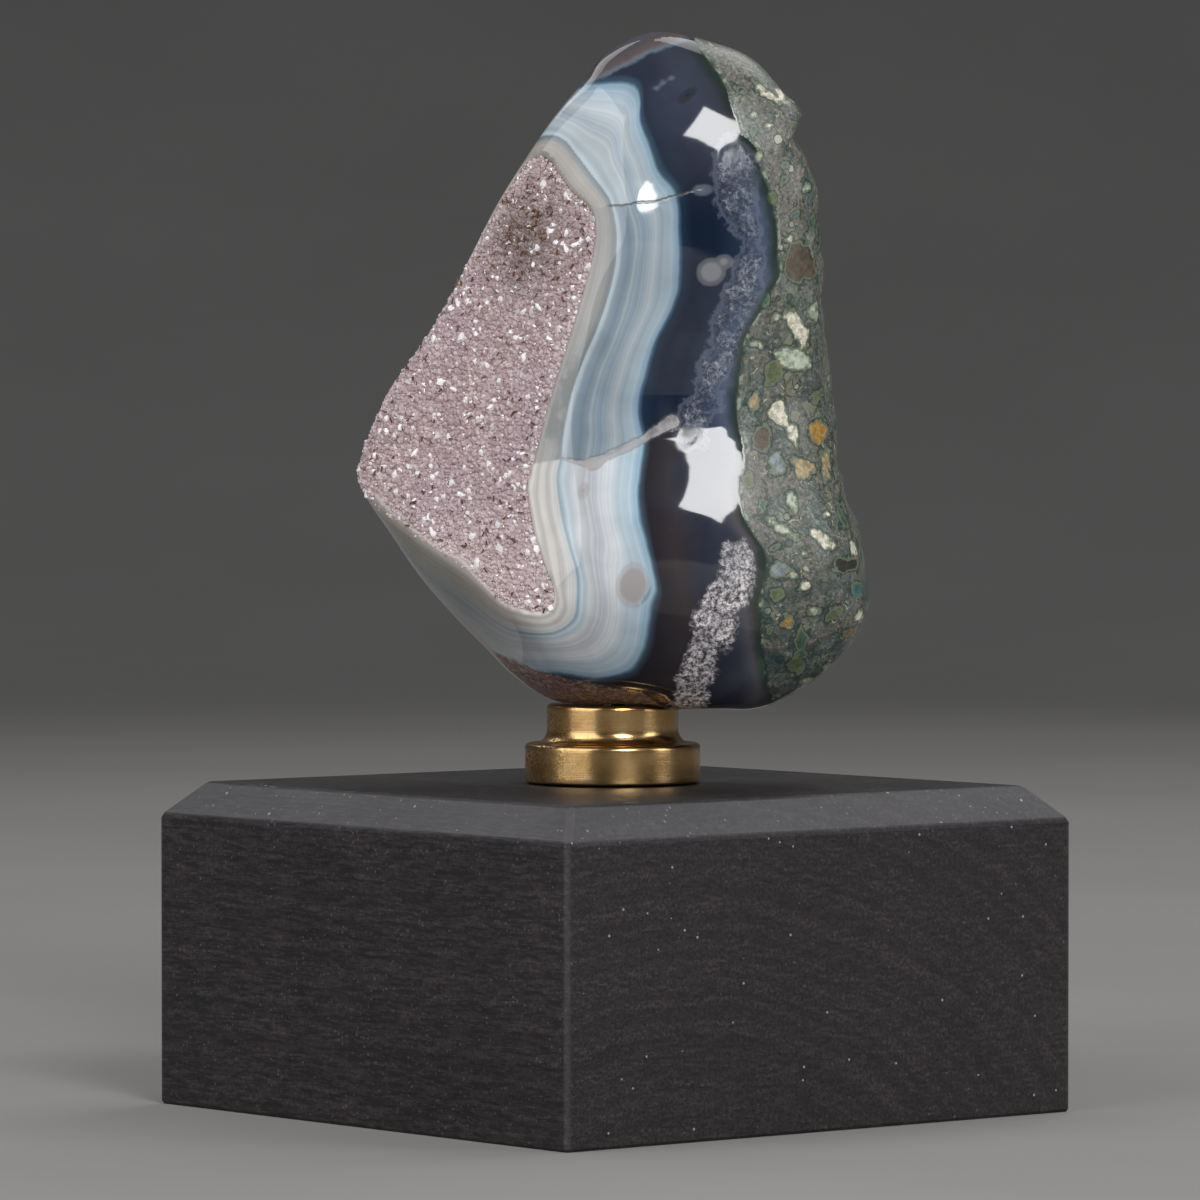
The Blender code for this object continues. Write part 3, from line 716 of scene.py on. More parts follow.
def seenLayer(x, y):  # the layer at a place in the photograph: 0 at the druse, 3 at the rind
    poleX, poleY = marks["pole"]
    angle, reach = np.arctan2(y - poleY, x - poleX), np.hypot(x - poleX, y - poleY)
    edgeX, edgeY = toPhoto(toWorld(fromFace(druseEdge[:, 0], druseEdge[:, 1], np.zeros(len(druseEdge)))))
    bounds = [reachAt(angle, edgeX - poleX, edgeY - poleY)]
    for name in ("greyToWhite", "whiteToDark", "darkToRind"):
        bounds.append(reachAt(angle, *(closedCurve(marks[name], 6) - np.array(marks["pole"])).T))
    layer = np.clip((reach - bounds[0]) / (bounds[1] - bounds[0]), -1, 1)
    layer += np.clip((reach - bounds[1]) / (bounds[2] - bounds[1]), 0, 1)
    rind = np.clip((reach - bounds[3]) / marks["rindLayer"], 0, 4)
    return layer + (np.clip((reach - bounds[2]) / (bounds[3] - bounds[2]), 0, 1) + rind)


def wander(places, seeds):  # pixels by which the outlines of the spots are pushed aside
    return sum(far * grains(places, size, seed) for (far, size), seed in zip(marks["wander"], seeds))


def largerSpots(spots, x, y, layer, hidden):  # how far inside a larger spot each place lies, and its tone
    names = list(marks["tones"])
    crooked = np.column_stack([x, y, spots[:, 1] * marks["depthScale"]])
    inRock = 0.25 + 0.75 * smoothstep(2.90, 3.02, layer)
    x = x + inRock * wander(crooked, (31, 32))
    y = y + inRock * wander(crooked, (33, 34))
    best, chosen = np.full(len(x), unseen), np.zeros(len(x))
    for blobX, blobY, halfWide, halfHigh, tilt, name in marks["blobs"]:
        cos, sin = math.cos(math.radians(tilt)), math.sin(math.radians(tilt))
        along, across = (x - blobX) * cos + (y - blobY) * sin, (y - blobY) * cos - (x - blobX) * sin
        inside = (1 - np.hypot(along / halfWide, across / halfHigh)) * min(halfWide, halfHigh)
        chosen = np.where(inside > best, (names.index(name) + 0.5) / len(names), chosen)
        best = np.maximum(best, inside)
    best = best * (1 - hidden) + unseen * hidden

    # on the back: the same kinds, placed at random
    chance = np.random.default_rng(marks["backSeed"])
    rockPlaces = np.flatnonzero((hidden > 0.5) & (layer > 3.1))
    far, size = marks["backCrooked"]
    places = spots + far * np.stack([grains(spots, size, seed) for seed in (42, 43, 44)], axis=-1)
    for middle in places[chance.choice(rockPlaces, marks["backBlobs"])]:
        wide = chance.uniform(*marks["backSize"]) * chance.uniform(*marks["backVaried"])
        long = chance.normal(size=3)
        long /= np.linalg.norm(long)
        offset = places - middle
        square = (offset ** 2).sum(axis=1) - (offset @ long) ** 2 * marks["backLonger"]
        inside = (wide - np.sqrt(np.clip(square, 0, None))) / marks["pixel"]
        kind = marks["backKinds"][chance.integers(len(marks["backKinds"]))]
        inside = np.where(layer > 3.02, inside, unseen)
        chosen = np.where(inside > best, (names.index(kind) + 0.5) / len(names), chosen)
        best = np.maximum(best, inside)
    return best, chosen


def dressStone(spots, druseInside):  # every value that the stone's material reads
    x, y = toPhoto(toWorld(spots))
    behind = spots[:, 1] - rimDepth(spots[:, 0], spots[:, 2])
    hidden = smoothstep(*marks["hiddenFrom"], behind)
    seen = seenLayer(x, y)
    beyond = np.clip(-druseInside, 0, None)
    fromDruse = np.sqrt(beyond ** 2 + toFace(spots)[2] ** 2) * 1000
    behindLayer = np.interp(fromDruse, *np.array(marks["fromDruse"], float).T)
    behindLayer += marks["backWaver"] * lumps(spots, marks["backWaverSize"], 21)
    layer = seen + (behindLayer - seen) * smoothstep(*marks["backStart"], behind)
    lowerLeft = smoothstep(*marks["underFace"], aboveFace(stone["lowerLeftFace"], spots))
    rawStart, rawEnd, rawLift = marks["rawLifted"]
    values = {
        "layer": layer,
        "photoX": x / 100,
        "photoY": y / 100,
        "hidden": hidden,
        "upperSide": y - markAt("upperCrack", x),
        "lowerSide": y - markAt("lowerCrack", x),
        "under": lowerLeft * smoothstep(*marks["underUntil"], x),
        "raw": y - markAt("raw", x) - rawLift * smoothstep(rawStart, rawEnd, x),
        "crown": markAt("crown", x) - y,
    }
    for name, path in (("frost", "frost"), ("lowerFrost", "lowerFrost"), ("fill", "crackFill")):
        values[name] = pathField(x, y, marks[path]) * (1 - hidden) + unseen * hidden
    values["blob"], values["blobTone"] = largerSpots(spots, x, y, layer, hidden)
    return values


def sunkShare(spots, side, up, out, druseInside):  # where the stone is sunk under the crust
    farAcross, farHeight = druse["farEdge"]
    leftAcross, leftHeight = druse["leftward"]
    leftward = (spots[:, 0] - farAcross) * leftAcross + (spots[:, 2] - farHeight) * leftHeight
    coveredOver = (out < -stone["rimUnder"]) | (leftward > -stone["rimReach"])
    inside = np.where(coveredOver, druseInside, polygonField(side, up, pocketEdge))
    return (smoothstep(*stone["pocketEdge"], inside) * smoothstep(*stone["pocketLowest"], out)
            * (out < stone["pocketHighest"]))


def makeStone(material):
    start, heading, reach = castStone()
    spots = start + heading * reach[:, None]
    side, up, out = toFace(spots)
    druseInside = polygonField(side, up, druseEdge)
    values = dressStone(spots, druseInside)
    rind = np.clip((-aboveFace(stone["druzyFace"], spots) - stone["rindStart"])
                   / (stone["rindFull"] - stone["rindStart"]), 0.0, 1.0)
    swell = stone["rindSwell"] * lumps(spots, stone["rindSwellSize"], 3)
    swell += stone["rindLump"] * lumps(spots, stone["rindLumpSize"], 4)
    rough = smoothstep(3.0, 3.5, values["layer"]) * rind * (1 + 0.5 * values["hidden"])
    swell += rough * sum(height * grains(spots, size, seed) for height, size, seed in stone["rockGrains"])
    moved = reach + rind * swell
    grainy = 1 + grains(spots, stone["lowerFrostGrain"], 7)
    moved -= stone["lowerFrostSunk"] * smoothstep(-2, 4, values["lowerFrost"]) * grainy
    moved -= stone["frostSunk"] * smoothstep(-2, 4, values["frost"])
    spots = start + heading * moved[:, None]
    spots -= np.outer(sunkShare(spots, side, up, out, druseInside) * stone["pocketDepth"], faceOut)
    places = toWorld(spots)
    fromAxis = np.hypot(places[:, 0], places[:, 1])
    fall = smoothstep(stone["seatRadius"], stone["seatRadius"] + stone["seatEdge"], fromAxis)
    seat = stone["seatHeight"] - stone["seatFall"] * fall
    below = (places[:, 2] < stone["seatBelow"]) & (fromAxis < stone["seatRadius"] + stone["seatReach"])
    places[:, 2] = np.where(below, np.maximum(places[:, 2], seat), places[:, 2])
    piece = addMesh("geodeStone", places, closedRings(stone["rows"], stone["columns"]), material)
    for name, numbers in values.items():
        addValues(piece, name, numbers)
    return piece


# The agate's colours, read along the layers from the druse (0) to the rind (3): between the cracks, above
# and below them, and on the ground facet underneath, darker there in part as painted shade
bands = {
    "middle": [
        (0.00, 184, 174, 172), (0.06, 158, 154, 154), (0.25, 150, 148, 148), (0.45, 160, 160, 158),
        (0.70, 150, 152, 152), (0.90, 128, 134, 138), (0.975, 141, 150, 158), (1.00, 184, 196, 203),
        (1.08, 149, 164, 175), (1.20, 113, 130, 143), (1.32, 149, 162, 171), (1.46, 130, 147, 160),
        (1.62, 162, 171, 177), (1.74, 147, 162, 173), (1.86, 156, 171, 182), (1.965, 133, 158, 177),
        (2.00, 72, 98, 124), (2.04, 32, 47, 66), (2.16, 17, 30, 48), (2.40, 17, 30, 48), (2.64, 36, 49, 70),
        (2.85, 74, 88, 110), (2.955, 74, 84, 100), (3.00, 58, 64, 68),
    ],
    "upper": [
        (0.00, 176, 166, 158), (0.15, 160, 154, 148), (0.48, 172, 168, 160), (0.72, 164, 162, 158),
        (0.86, 136, 142, 146), (0.98, 118, 130, 140), (1.02, 176, 190, 200), (1.14, 160, 174, 184),
        (1.30, 176, 186, 192), (1.46, 150, 164, 176), (1.62, 178, 188, 194), (1.84, 168, 184, 196),
        (1.97, 142, 170, 188), (2.02, 62, 84, 104), (2.10, 40, 48, 62), (2.34, 46, 50, 64),
        (2.64, 56, 60, 74), (2.85, 52, 56, 66), (3.00, 48, 48, 52),
    ],
    "lower": [
        (0.00, 202, 192, 190), (0.12, 205, 202, 199), (0.26, 182, 177, 172), (0.42, 213, 210, 206),
        (0.58, 178, 174, 172), (0.76, 206, 207, 205), (0.92, 197, 202, 202), (0.985, 142, 165, 181),
        (1.05, 185, 200, 210), (1.24, 198, 200, 203), (1.42, 187, 191, 198), (1.56, 210, 213, 216),
        (1.74, 185, 200, 210), (1.89, 177, 195, 208), (1.975, 150, 181, 201), (2.02, 66, 82, 98),
        (2.07, 42, 40, 46), (2.28, 56, 50, 52), (2.52, 42, 45, 58), (2.76, 58, 60, 72), (2.90, 88, 86, 92),
        (3.00, 84, 80, 78),
    ],
    # the ground facet underneath faces downwards: its darker tones are partly painted shade
    "under": [
        (0.00, 160, 150, 142), (0.20, 142, 137, 128), (0.40, 128, 128, 122), (0.55, 136, 124, 110),
        (0.66, 122, 122, 116), (0.90, 118, 122, 120), (1.15, 98, 106, 110), (1.45, 120, 124, 124),
        (1.75, 98, 102, 104), (1.95, 92, 90, 88), (2.02, 70, 56, 50), (2.15, 116, 88, 80), (2.45, 98, 74, 68),
        (2.80, 86, 70, 62), (3.00, 76, 66, 58),
    ],
}


def makeBandTones():  # one colour for a layer: the ramps above, with fine lines that follow the layers
    inputs = [("Vector", "Vector", None)]
    inputs += [(label, "Float", 0.0) for label in ("Layer", "Upper", "Lower", "Under")]
    group, given, result = startGroup("bandTones", inputs, [("Color", "Color")])
    waver = centred(group, noise(group, given["Vector"], 110.0, 3.0, 0.5))
    layer = timesPlus(group, waver, 0.09, given["Layer"])
    share = calc(group, "DIVIDE", layer, 3.0, clamp=True)
    ramps = {}
    for name, stops in bands.items():
        ramps[name] = colourRamp(group, share, [(place / 3, *colour) for place, *colour in stops])
    colour = ramps["middle"]
    for name in ("upper", "lower", "under"):
        colour = paint(group, colour, ramps[name], given[name.title()])
    lines = streaks(group, times(group, layer, 13.0), 1.0, 3.0, 0.65)
    milky = noise(group, given["Vector"], 75.0, 3.0, 0.6)
    faint = times(group, rise(group, lines, 0.32, 0.68, 0.90, 1.07), rise(group, milky, 0.3, 0.7, 0.88, 1.12))
    pale = rise(group, layer, 1.95, 2.1, 1.0, 0.0)
    group.links.new(brighten(group, colour, mixValues(group, pale, 1.0, faint)), result["Color"])
    return group


rock = {
    "base": [
        (0.30, 76, 82, 80), (0.42, 104, 108, 103), (0.50, 116, 112, 103), (0.58, 90, 102, 98),
        (0.68, 124, 126, 120),
    ],
    # from, to, amount, tone
    "grains": [(0.48, 0.62, 0.58, (46, 52, 48)), (0.46, 0.36, 0.54, (160, 162, 152))],
    "patches": [  # scale, shift, level, width of the outline, fill, outline, amount of each
        (210.0, 3.1, 0.615, 0.016, (128, 132, 112), (40, 66, 54), 0.75, 0.8),
        (330.0, 7.7, 0.635, 0.022, (70, 88, 76), (28, 46, 40), 0.8, 0.9),
        (480.0, 1.9, 0.655, 0.030, (176, 172, 152), (58, 78, 62), 0.9, 0.9),
        (260.0, 5.3, 0.660, 0.020, (96, 74, 56), (52, 44, 36), 0.7, 0.6),
    ],
    "bubbleScale": 420.0,
    "bubbleShare": 0.34,
    "bubbleReach": 0.36,
    "bubbleRim": (34, 56, 50),
    "bubbleCores": [
        (0.0, 150, 156, 138), (0.30, 84, 100, 84), (0.52, 186, 184, 168), (0.68, 96, 88, 74),
        (0.82, 64, 92, 90),
    ],
}


def makeRockTones():  # the grey rock of the rind: patches bounded by level lines of noise, and filled bubbles
    outputs = [("Color", "Color"), ("Height", "Float")]
    group, given, result = startGroup("rockTones", [("Vector", "Vector", None)], outputs)
    where = given["Vector"]
    fine = noise(group, where, 1700.0, 4.0, 0.75)
    colour = colourRamp(group, noise(group, where, 90.0, 4.0, 0.6, 0.4), rock["base"])
    for start, full, amount, over in rock["grains"]:
        colour = paint(group, colour, over, rise(group, fine, start, full, 0.0, amount))
    for scale, shift, level, width, fill, line, fillShare, lineShare in rock["patches"]:
        sockets = {0: where, 1: (shift, -shift, shift)}
        moved = addNode(group, "VectorMath", sockets, operation="ADD").outputs[0]
        patch = noise(group, moved, scale, 3.0, 0.6, 0.9)
        lineMask = times(group, rise(group, patch, level - width, level - width * 0.5),
                         rise(group, patch, level, level + width * 0.4, lineShare, 0.0))
        colour = paint(group, colour, fill, rise(group, patch, level, level + 0.012), fillShare)
        colour = paint(group, colour, line, lineMask)
    bubbles = addNode(group, "TexVoronoi", {"Vector": where, "Scale": rock["bubbleScale"]}).outputs
    chance = addNode(group, "SeparateColor", {0: bubbles["Color"]}).outputs
    reach = times(group, timesPlus(group, chance[1], 0.6, 0.4), rock["bubbleReach"])
    inside = calc(group, "SUBTRACT", reach, bubbles["Distance"])
    inside = timesPlus(group, centred(group, fine), 0.25, inside)
    chosen = calc(group, "LESS_THAN", chance[0], rock["bubbleShare"])
    cores = colourRamp(group, chance[2], rock["bubbleCores"], "CONSTANT")
    colour = paint(group, colour, rock["bubbleRim"], rise(group, inside, -0.03, 0.01), chosen, 0.85)
    colour = paint(group, colour, cores, rise(group, inside, 0.05, 0.10), chosen, 0.8)
    group.links.new(colour, result["Color"])
    group.links.new(times(group, fine, 0.6), result["Height"])
    return group


bandTonesGroup = makeBandTones()
rockTonesGroup = makeRockTones()

tints = {  # what lies in and on the bands and the rock: one tone each, or stops along a grain
    "cloud": (74, 88, 112),
    "clear": (98, 104, 104),
    "crown": [
        (0.0, 76, 90, 104), (0.07, 102, 112, 122), (0.16, 98, 84, 83), (0.34, 82, 77, 82), (0.6, 76, 80, 92),
        (1.0, 84, 92, 108),
    ],
    "frost": [(0.40, 50, 54, 70), (0.52, 84, 90, 106), (0.60, 130, 136, 148), (0.68, 196, 200, 206)],
    "wisp": (176, 182, 192),
    "frostRim": (126, 134, 148),
    "lowerFrost": [(0.37, 42, 39, 43), (0.45, 112, 106, 112), (0.51, 178, 173, 177), (0.58, 248, 244, 244)],
    "crack": (70, 62, 60),
    "fillEdge": (104, 98, 94),
    "fill": (182, 180, 182),
    "raw": [(0.38, 66, 48, 40), (0.50, 112, 86, 78), (0.62, 168, 144, 136)],
    "damp": (40, 60, 62),
    "seam": (32, 50, 42),
    "bead": (150, 164, 142),
    "spotOutline": (34, 50, 42),
    "spotRim": (112, 122, 104),
}


def stoneMaterial():
    material, tree, shader, where = startMaterial("polishedGeode")
    names = ("layer", "upperSide", "lowerSide", "hidden", "under", "photoX", "photoY")
    layer, upperSide, lowerSide, hidden, under, photoX, photoY = (readValue(tree, name) for name in names)
    shown = calc(tree, "SUBTRACT", 1.0, hidden)
    wide = noise(tree, where, 60.0, 4.0, 0.6)
    fine = noise(tree, where, 700.0, 4.0, 0.6)
    grain = noise(tree, where, 1400.0, 4.0, 0.8)
    ragged = noise(tree, where, 260.0, 5.0, 0.65)
    fineOffset, raggedOffset = centred(tree, fine), centred(tree, ragged)

    # above, between and below the cracks: sharp in the pale bands, soft in the dark ones
    softness = rise(tree, layer, 1.9, 2.3, 1.5, 40.0)
    upper = rise(tree, calc(tree, "DIVIDE", upperSide, softness), -1.0, 1.0, 1.0, 0.0)
    lower = rise(tree, calc(tree, "DIVIDE", lowerSide, softness), -1.0, 1.0)
    sockets = {"Layer": layer, "Vector": where, "Upper": upper, "Lower": lower, "Under": under}
    colour = addNode(tree, "Group", sockets, node_tree=bandTonesGroup).outputs["Color"]

    # clouds in the dark agate, and darker, clearer patches in the grey band beside the druse
    cloud = rise(tree, wide, 0.42, 0.75, 0.0, 0.24)
    colour = paint(tree, colour, tints["cloud"], cloud, rise(tree, layer, 2.0, 2.4))
    clear = between(tree, layer, 0.05, 0.3, 0.90, 1.0)
    clear = times(tree, clear, between(tree, photoY, 3.30, 3.80, 4.30, 4.56))
    patchy = rise(tree, noise(tree, where, 150.0, 3.0), 0.40, 0.58)
    colour = paint(tree, colour, tints["clear"], clear, patchy, 0.75)

    # the brown wedge at the crown
    crown = timesPlus(tree, fineOffset, 6.0, readValue(tree, "crown"))
    crownTone = colourRamp(tree, calc(tree, "DIVIDE", crown, 45.0, clamp=True), tints["crown"])
    colour = paint(tree, colour, crownTone, rise(tree, crown, -1.5, 1.5), shown)

    # frosted veins: ragged edges, grains of crystal and wisps inside
    frost = timesPlus(tree, raggedOffset, 46.0, readValue(tree, "frost"))
    frostMask = rise(tree, frost, -6.0, 6.0)
    cloudy = times(tree, frostMask, rise(tree, ragged, 0.40, 0.62, 0.20, 0.85))
    colour = paint(tree, colour, colourRamp(tree, grain, tints["frost"]), cloudy)
    wisp = calc(tree, "ABSOLUTE", centred(tree, noise(tree, where, 330.0, 4.0, 0.7, 0.6)))
    colour = paint(tree, colour, tints["wisp"], rise(tree, wisp, 0.0, 0.055, 0.42, 0.0), cloudy)
    colour = paint(tree, colour, tints["frostRim"], between(tree, frost, -9.0, -5.0, -4.0, 0.0), 0.30)
    lowFrost = timesPlus(tree, raggedOffset, 38.0, readValue(tree, "lowerFrost"))
    lowMask = rise(tree, lowFrost, -3.0, 5.0)
    lowDense = times(tree, rise(tree, ragged, 0.36, 0.56, 0.60, 1.0), rise(tree, photoY, 5.5, 6.1, 0.60, 1.0))
    colour = paint(tree, colour, colourRamp(tree, grain, tints["lowerFrost"]), lowMask, lowDense)

    # cracks: a thin dark line above, a milky filling below
    upperLine = calc(tree, "ABSOLUTE", timesPlus(tree, fineOffset, 5.0, upperSide))
    upperLine = times(tree, rise(tree, upperLine, 0.3, 1.8, 1.0, 0.0), shown)
    upperLine = times(tree, upperLine, between(tree, photoX, 6.04, 6.12, 6.96, 7.04))
    colour = paint(tree, colour, tints["crack"], upperLine, 0.75)
    fill = timesPlus(tree, fineOffset, 6.0, readValue(tree, "fill"))
    fillEdge = rise(tree, fill, -2.6, -0.6)
    colour = paint(tree, colour, tints["fillEdge"], fillEdge, 0.40)
    milk = rise(tree, noise(tree, where, 420.0, 3.0, 0.6), 0.36, 0.62, 0.34, 0.80)
    colour = paint(tree, colour, tints["fill"], rise(tree, fill, -0.6, 0.8), milk)

    # brown unpolished skin under the ground facet
    raw = timesPlus(tree, fineOffset, 9.0, readValue(tree, "raw"))
    rawMask = times(tree, rise(tree, raw, -1.5, 2.5), shown)
    colour = paint(tree, colour, colourRamp(tree, grain, tints["raw"]), rawMask, 0.92)

    # the rock of the rind, damp-looking low down, with a dark seam and pale beads along its edge
    edge = timesPlus(tree, fineOffset, 0.10, timesPlus(tree, centred(tree, wide), 0.10, layer))
    rockMask = rise(tree, edge, 2.99, 3.05)
    rockTones = addNode(tree, "Group", {"Vector": where}, node_tree=rockTonesGroup).outputs
    damp = times(tree, rise(tree, photoY, 5.3, 6.1), rise(tree, ragged, 0.47, 0.56, 0.0, 0.62))
    colour = paint(tree, colour, paint(tree, rockTones["Color"], tints["damp"], damp), rockMask)
    colour = paint(tree, colour, tints["seam"], between(tree, edge, 2.88, 2.99, 3.05, 3.16), 0.70)
    beads = times(tree, between(tree, edge, 3.04, 3.07, 3.12, 3.16), rise(tree, fine, 0.50, 0.58))
    colour = paint(tree, colour, tints["bead"], beads, 0.75)

    # larger spots: crooked and blotched in the rock, plain in the agate
    crooked, sharp = timesPlus(tree, rockMask, 11.0, 1.5), timesPlus(tree, rockMask, 0.6, 0.4)
    spot = times(tree, timesPlus(tree, fineOffset, crooked, readValue(tree, "blob")), sharp)
    stops = [(index / len(marks["tones"]), *colour) for index, colour in enumerate(marks["tones"].values())]
    spotTone = colourRamp(tree, readValue(tree, "blobTone"), stops, "CONSTANT")
    blotch = rise(tree, noise(tree, where, 1100.0, 4.0, 0.7), 0.38, 0.62, 0.62, 1.22)
    blotched = brighten(tree, spotTone, mixValues(tree, rockMask, 1.0, blotch))
    colour = paint(tree, colour, tints["spotOutline"], rise(tree, spot, -2.4, -1.0), rockMask, 0.75)
    rim = paint(tree, blotched, tints["spotRim"], rockMask)
    colour = paint(tree, colour, rim, rise(tree, spot, -0.8, 0.4), timesPlus(tree, rockMask, 0.45, 0.45))
    colour = paint(tree, colour, blotched, rise(tree, spot, 0.8, 2.2), 0.85)

    rough = mixValues(tree, rockMask, 0.055, 0.34)
    for mask, value in ((rawMask, 0.50), (lowMask, 0.42), (times(tree, frostMask, 0.35), 0.40)):
        rough = mixValues(tree, mask, rough, value)
    rough = mixValues(tree, hidden, rough, mixValues(tree, rockMask, 0.10, 0.42))
    setInputs(tree, shader, {"Base Color": colour, "Roughness": rough, "IOR": 1.54})
    coarse = times(tree, grain, calc(tree, "MAXIMUM", lowMask, rawMask))
    relief = times(tree, rockTones["Height"], rockMask)
    for value, amount in ((coarse, 1.3), (upperLine, -0.8), (fillEdge, -0.4)):
        relief = timesPlus(tree, value, amount, relief)
    bump(tree, shader, relief, 0.00012, 0.6)
    return material


geodeStone = makeStone(stoneMaterial())
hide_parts("geode")
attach(geodeStone, "root")
print("stone made", len(geodeStone.data.polygons), "faces")


def stoneUnder(side, up):  # height of the stone's unsunk surface over the druse's plane, by halving
    low, high = (np.full(len(side), limit) for limit in druse["searched"])
    for step in range(druse["halvings"]):
        middle = (low + high) / 2
        outside = stoneField(fromFace(side, up, middle)) > 0
        high = np.where(outside, middle, high)
        low = np.where(outside, low, middle)
    return (low + high) / 2


def druseSurface(side, up, inside):  # height of the crust's own surface: just under the stone's, in low waves
    spots = np.column_stack([side, up, np.zeros(len(side))])
    wave = druse["wave"] * lumps(spots, druse["waveSize"], 12, 9)
    middle = smoothstep(0.0, druse["middleStart"], inside)
    return stoneUnder(side, up) - druse["underStone"] + (wave - druse["middleLower"]) * middle


def crystalGrid(chance):  # places of a jittered close-packed grid inside the outline
    gap = druse["spacing"]
    low, high = druseEdge.min(axis=0) - gap, druseEdge.max(axis=0) + gap
    rowsUp = np.arange(low[1], high[1], gap * druse["rowShare"])
    across = np.arange(low[0], high[0], gap)
    shift = (np.arange(len(rowsUp)) % 2) * gap / 2
    grid = np.stack([across[None, :] + shift[:, None], np.repeat(rowsUp[:, None], len(across), axis=1)], -1)
    grid = grid.reshape(-1, 2) + chance.uniform(-1, 1, (grid.size // 2, 2)) * druse["jitter"] * gap
    inside = polygonField(grid[:, 0], grid[:, 1], druseEdge)
    keep = inside > druse["nearestEdge"]
    grid, inside = grid[keep], inside[keep]
    keep = stoneUnder(grid[:, 0], grid[:, 1]) > druse["lowest"]
    return grid[keep], inside[keep]


# Each crystal is a six-sided column with a point: six corners at its foot, six at its shoulder, and a tip
def crystals(chance, foot, axis, half, tall, narrow, peak):
    count = len(foot)
    spin = chance.uniform(0, 2 * math.pi, count)
    axis = axis / np.linalg.norm(axis, axis=1)[:, None]
    first = np.cross(axis, np.column_stack([np.sin(spin), np.cos(spin), np.full(count, 0.3)]))
    first /= np.linalg.norm(first, axis=1)[:, None]
    second = np.cross(axis, first) * narrow[:, None]
    turn = np.arange(6) * math.pi / 3
    ring = first[:, None, :] * np.cos(turn)[None, :, None] + second[:, None, :] * np.sin(turn)[None, :, None]
    stretch = chance.uniform(*druse["uneven"], (count, 6, 1))
    low = foot[:, None, :] + ring * (half[:, None, None] * stretch) - axis[:, None, :] * druse["rooted"]
    high = low + axis[:, None, :] * (tall + druse["rooted"])[:, None, None]
    high = high - ring * (half * druse["taper"])[:, None, None]
    aside = half * chance.uniform(-0.5, 0.5, count)
    tip = foot + axis * (tall + half * peak)[:, None] + ring[:, 0] * aside[:, None]
    return np.concatenate([low, high, tip[:, None, :]], axis=1)


def crustSlab():  # the crust without its crystals: rings from the outline to the middle, over a flat bottom
    rings, spokes = druse["rings"], druse["spokes"]
    angle = np.linspace(0, 2 * math.pi, spokes, endpoint=False)
    edgeReach = reachAt(angle, *(druseEdge - druseMiddle).T) - druse["edgeInset"]
    share = np.linspace(1, 0, rings + 1)[:-1]
    flatSide = (druseMiddle[0] + np.outer(share, np.cos(angle) * edgeReach)).ravel()
    flatUp = (druseMiddle[1] + np.outer(share, np.sin(angle) * edgeReach)).ravel()
    height = druseSurface(flatSide, flatUp, polygonField(flatSide, flatUp, druseEdge))
    height += druse["grain"] * grains(np.column_stack([flatSide, flatUp, flatUp]), druse["grainSize"], 14)
    height[:spokes] -= druse["edgeDrop"]
    bottom = np.minimum(-druse["bottom"], height[:spokes] - druse["thinnest"])
    middleTop = druseSurface(druseMiddle[:1], druseMiddle[1:], np.array([0.01]))
    side = np.concatenate([flatSide[:spokes], flatSide, druseMiddle[:1], druseMiddle[:1]])
    up = np.concatenate([flatUp[:spokes], flatUp, druseMiddle[1:], druseMiddle[1:]])
    out = np.concatenate([bottom, height, [-druse["bottom"]], middleTop])
    return fromFace(side, up, out), closedRings(rings + 1, spokes)


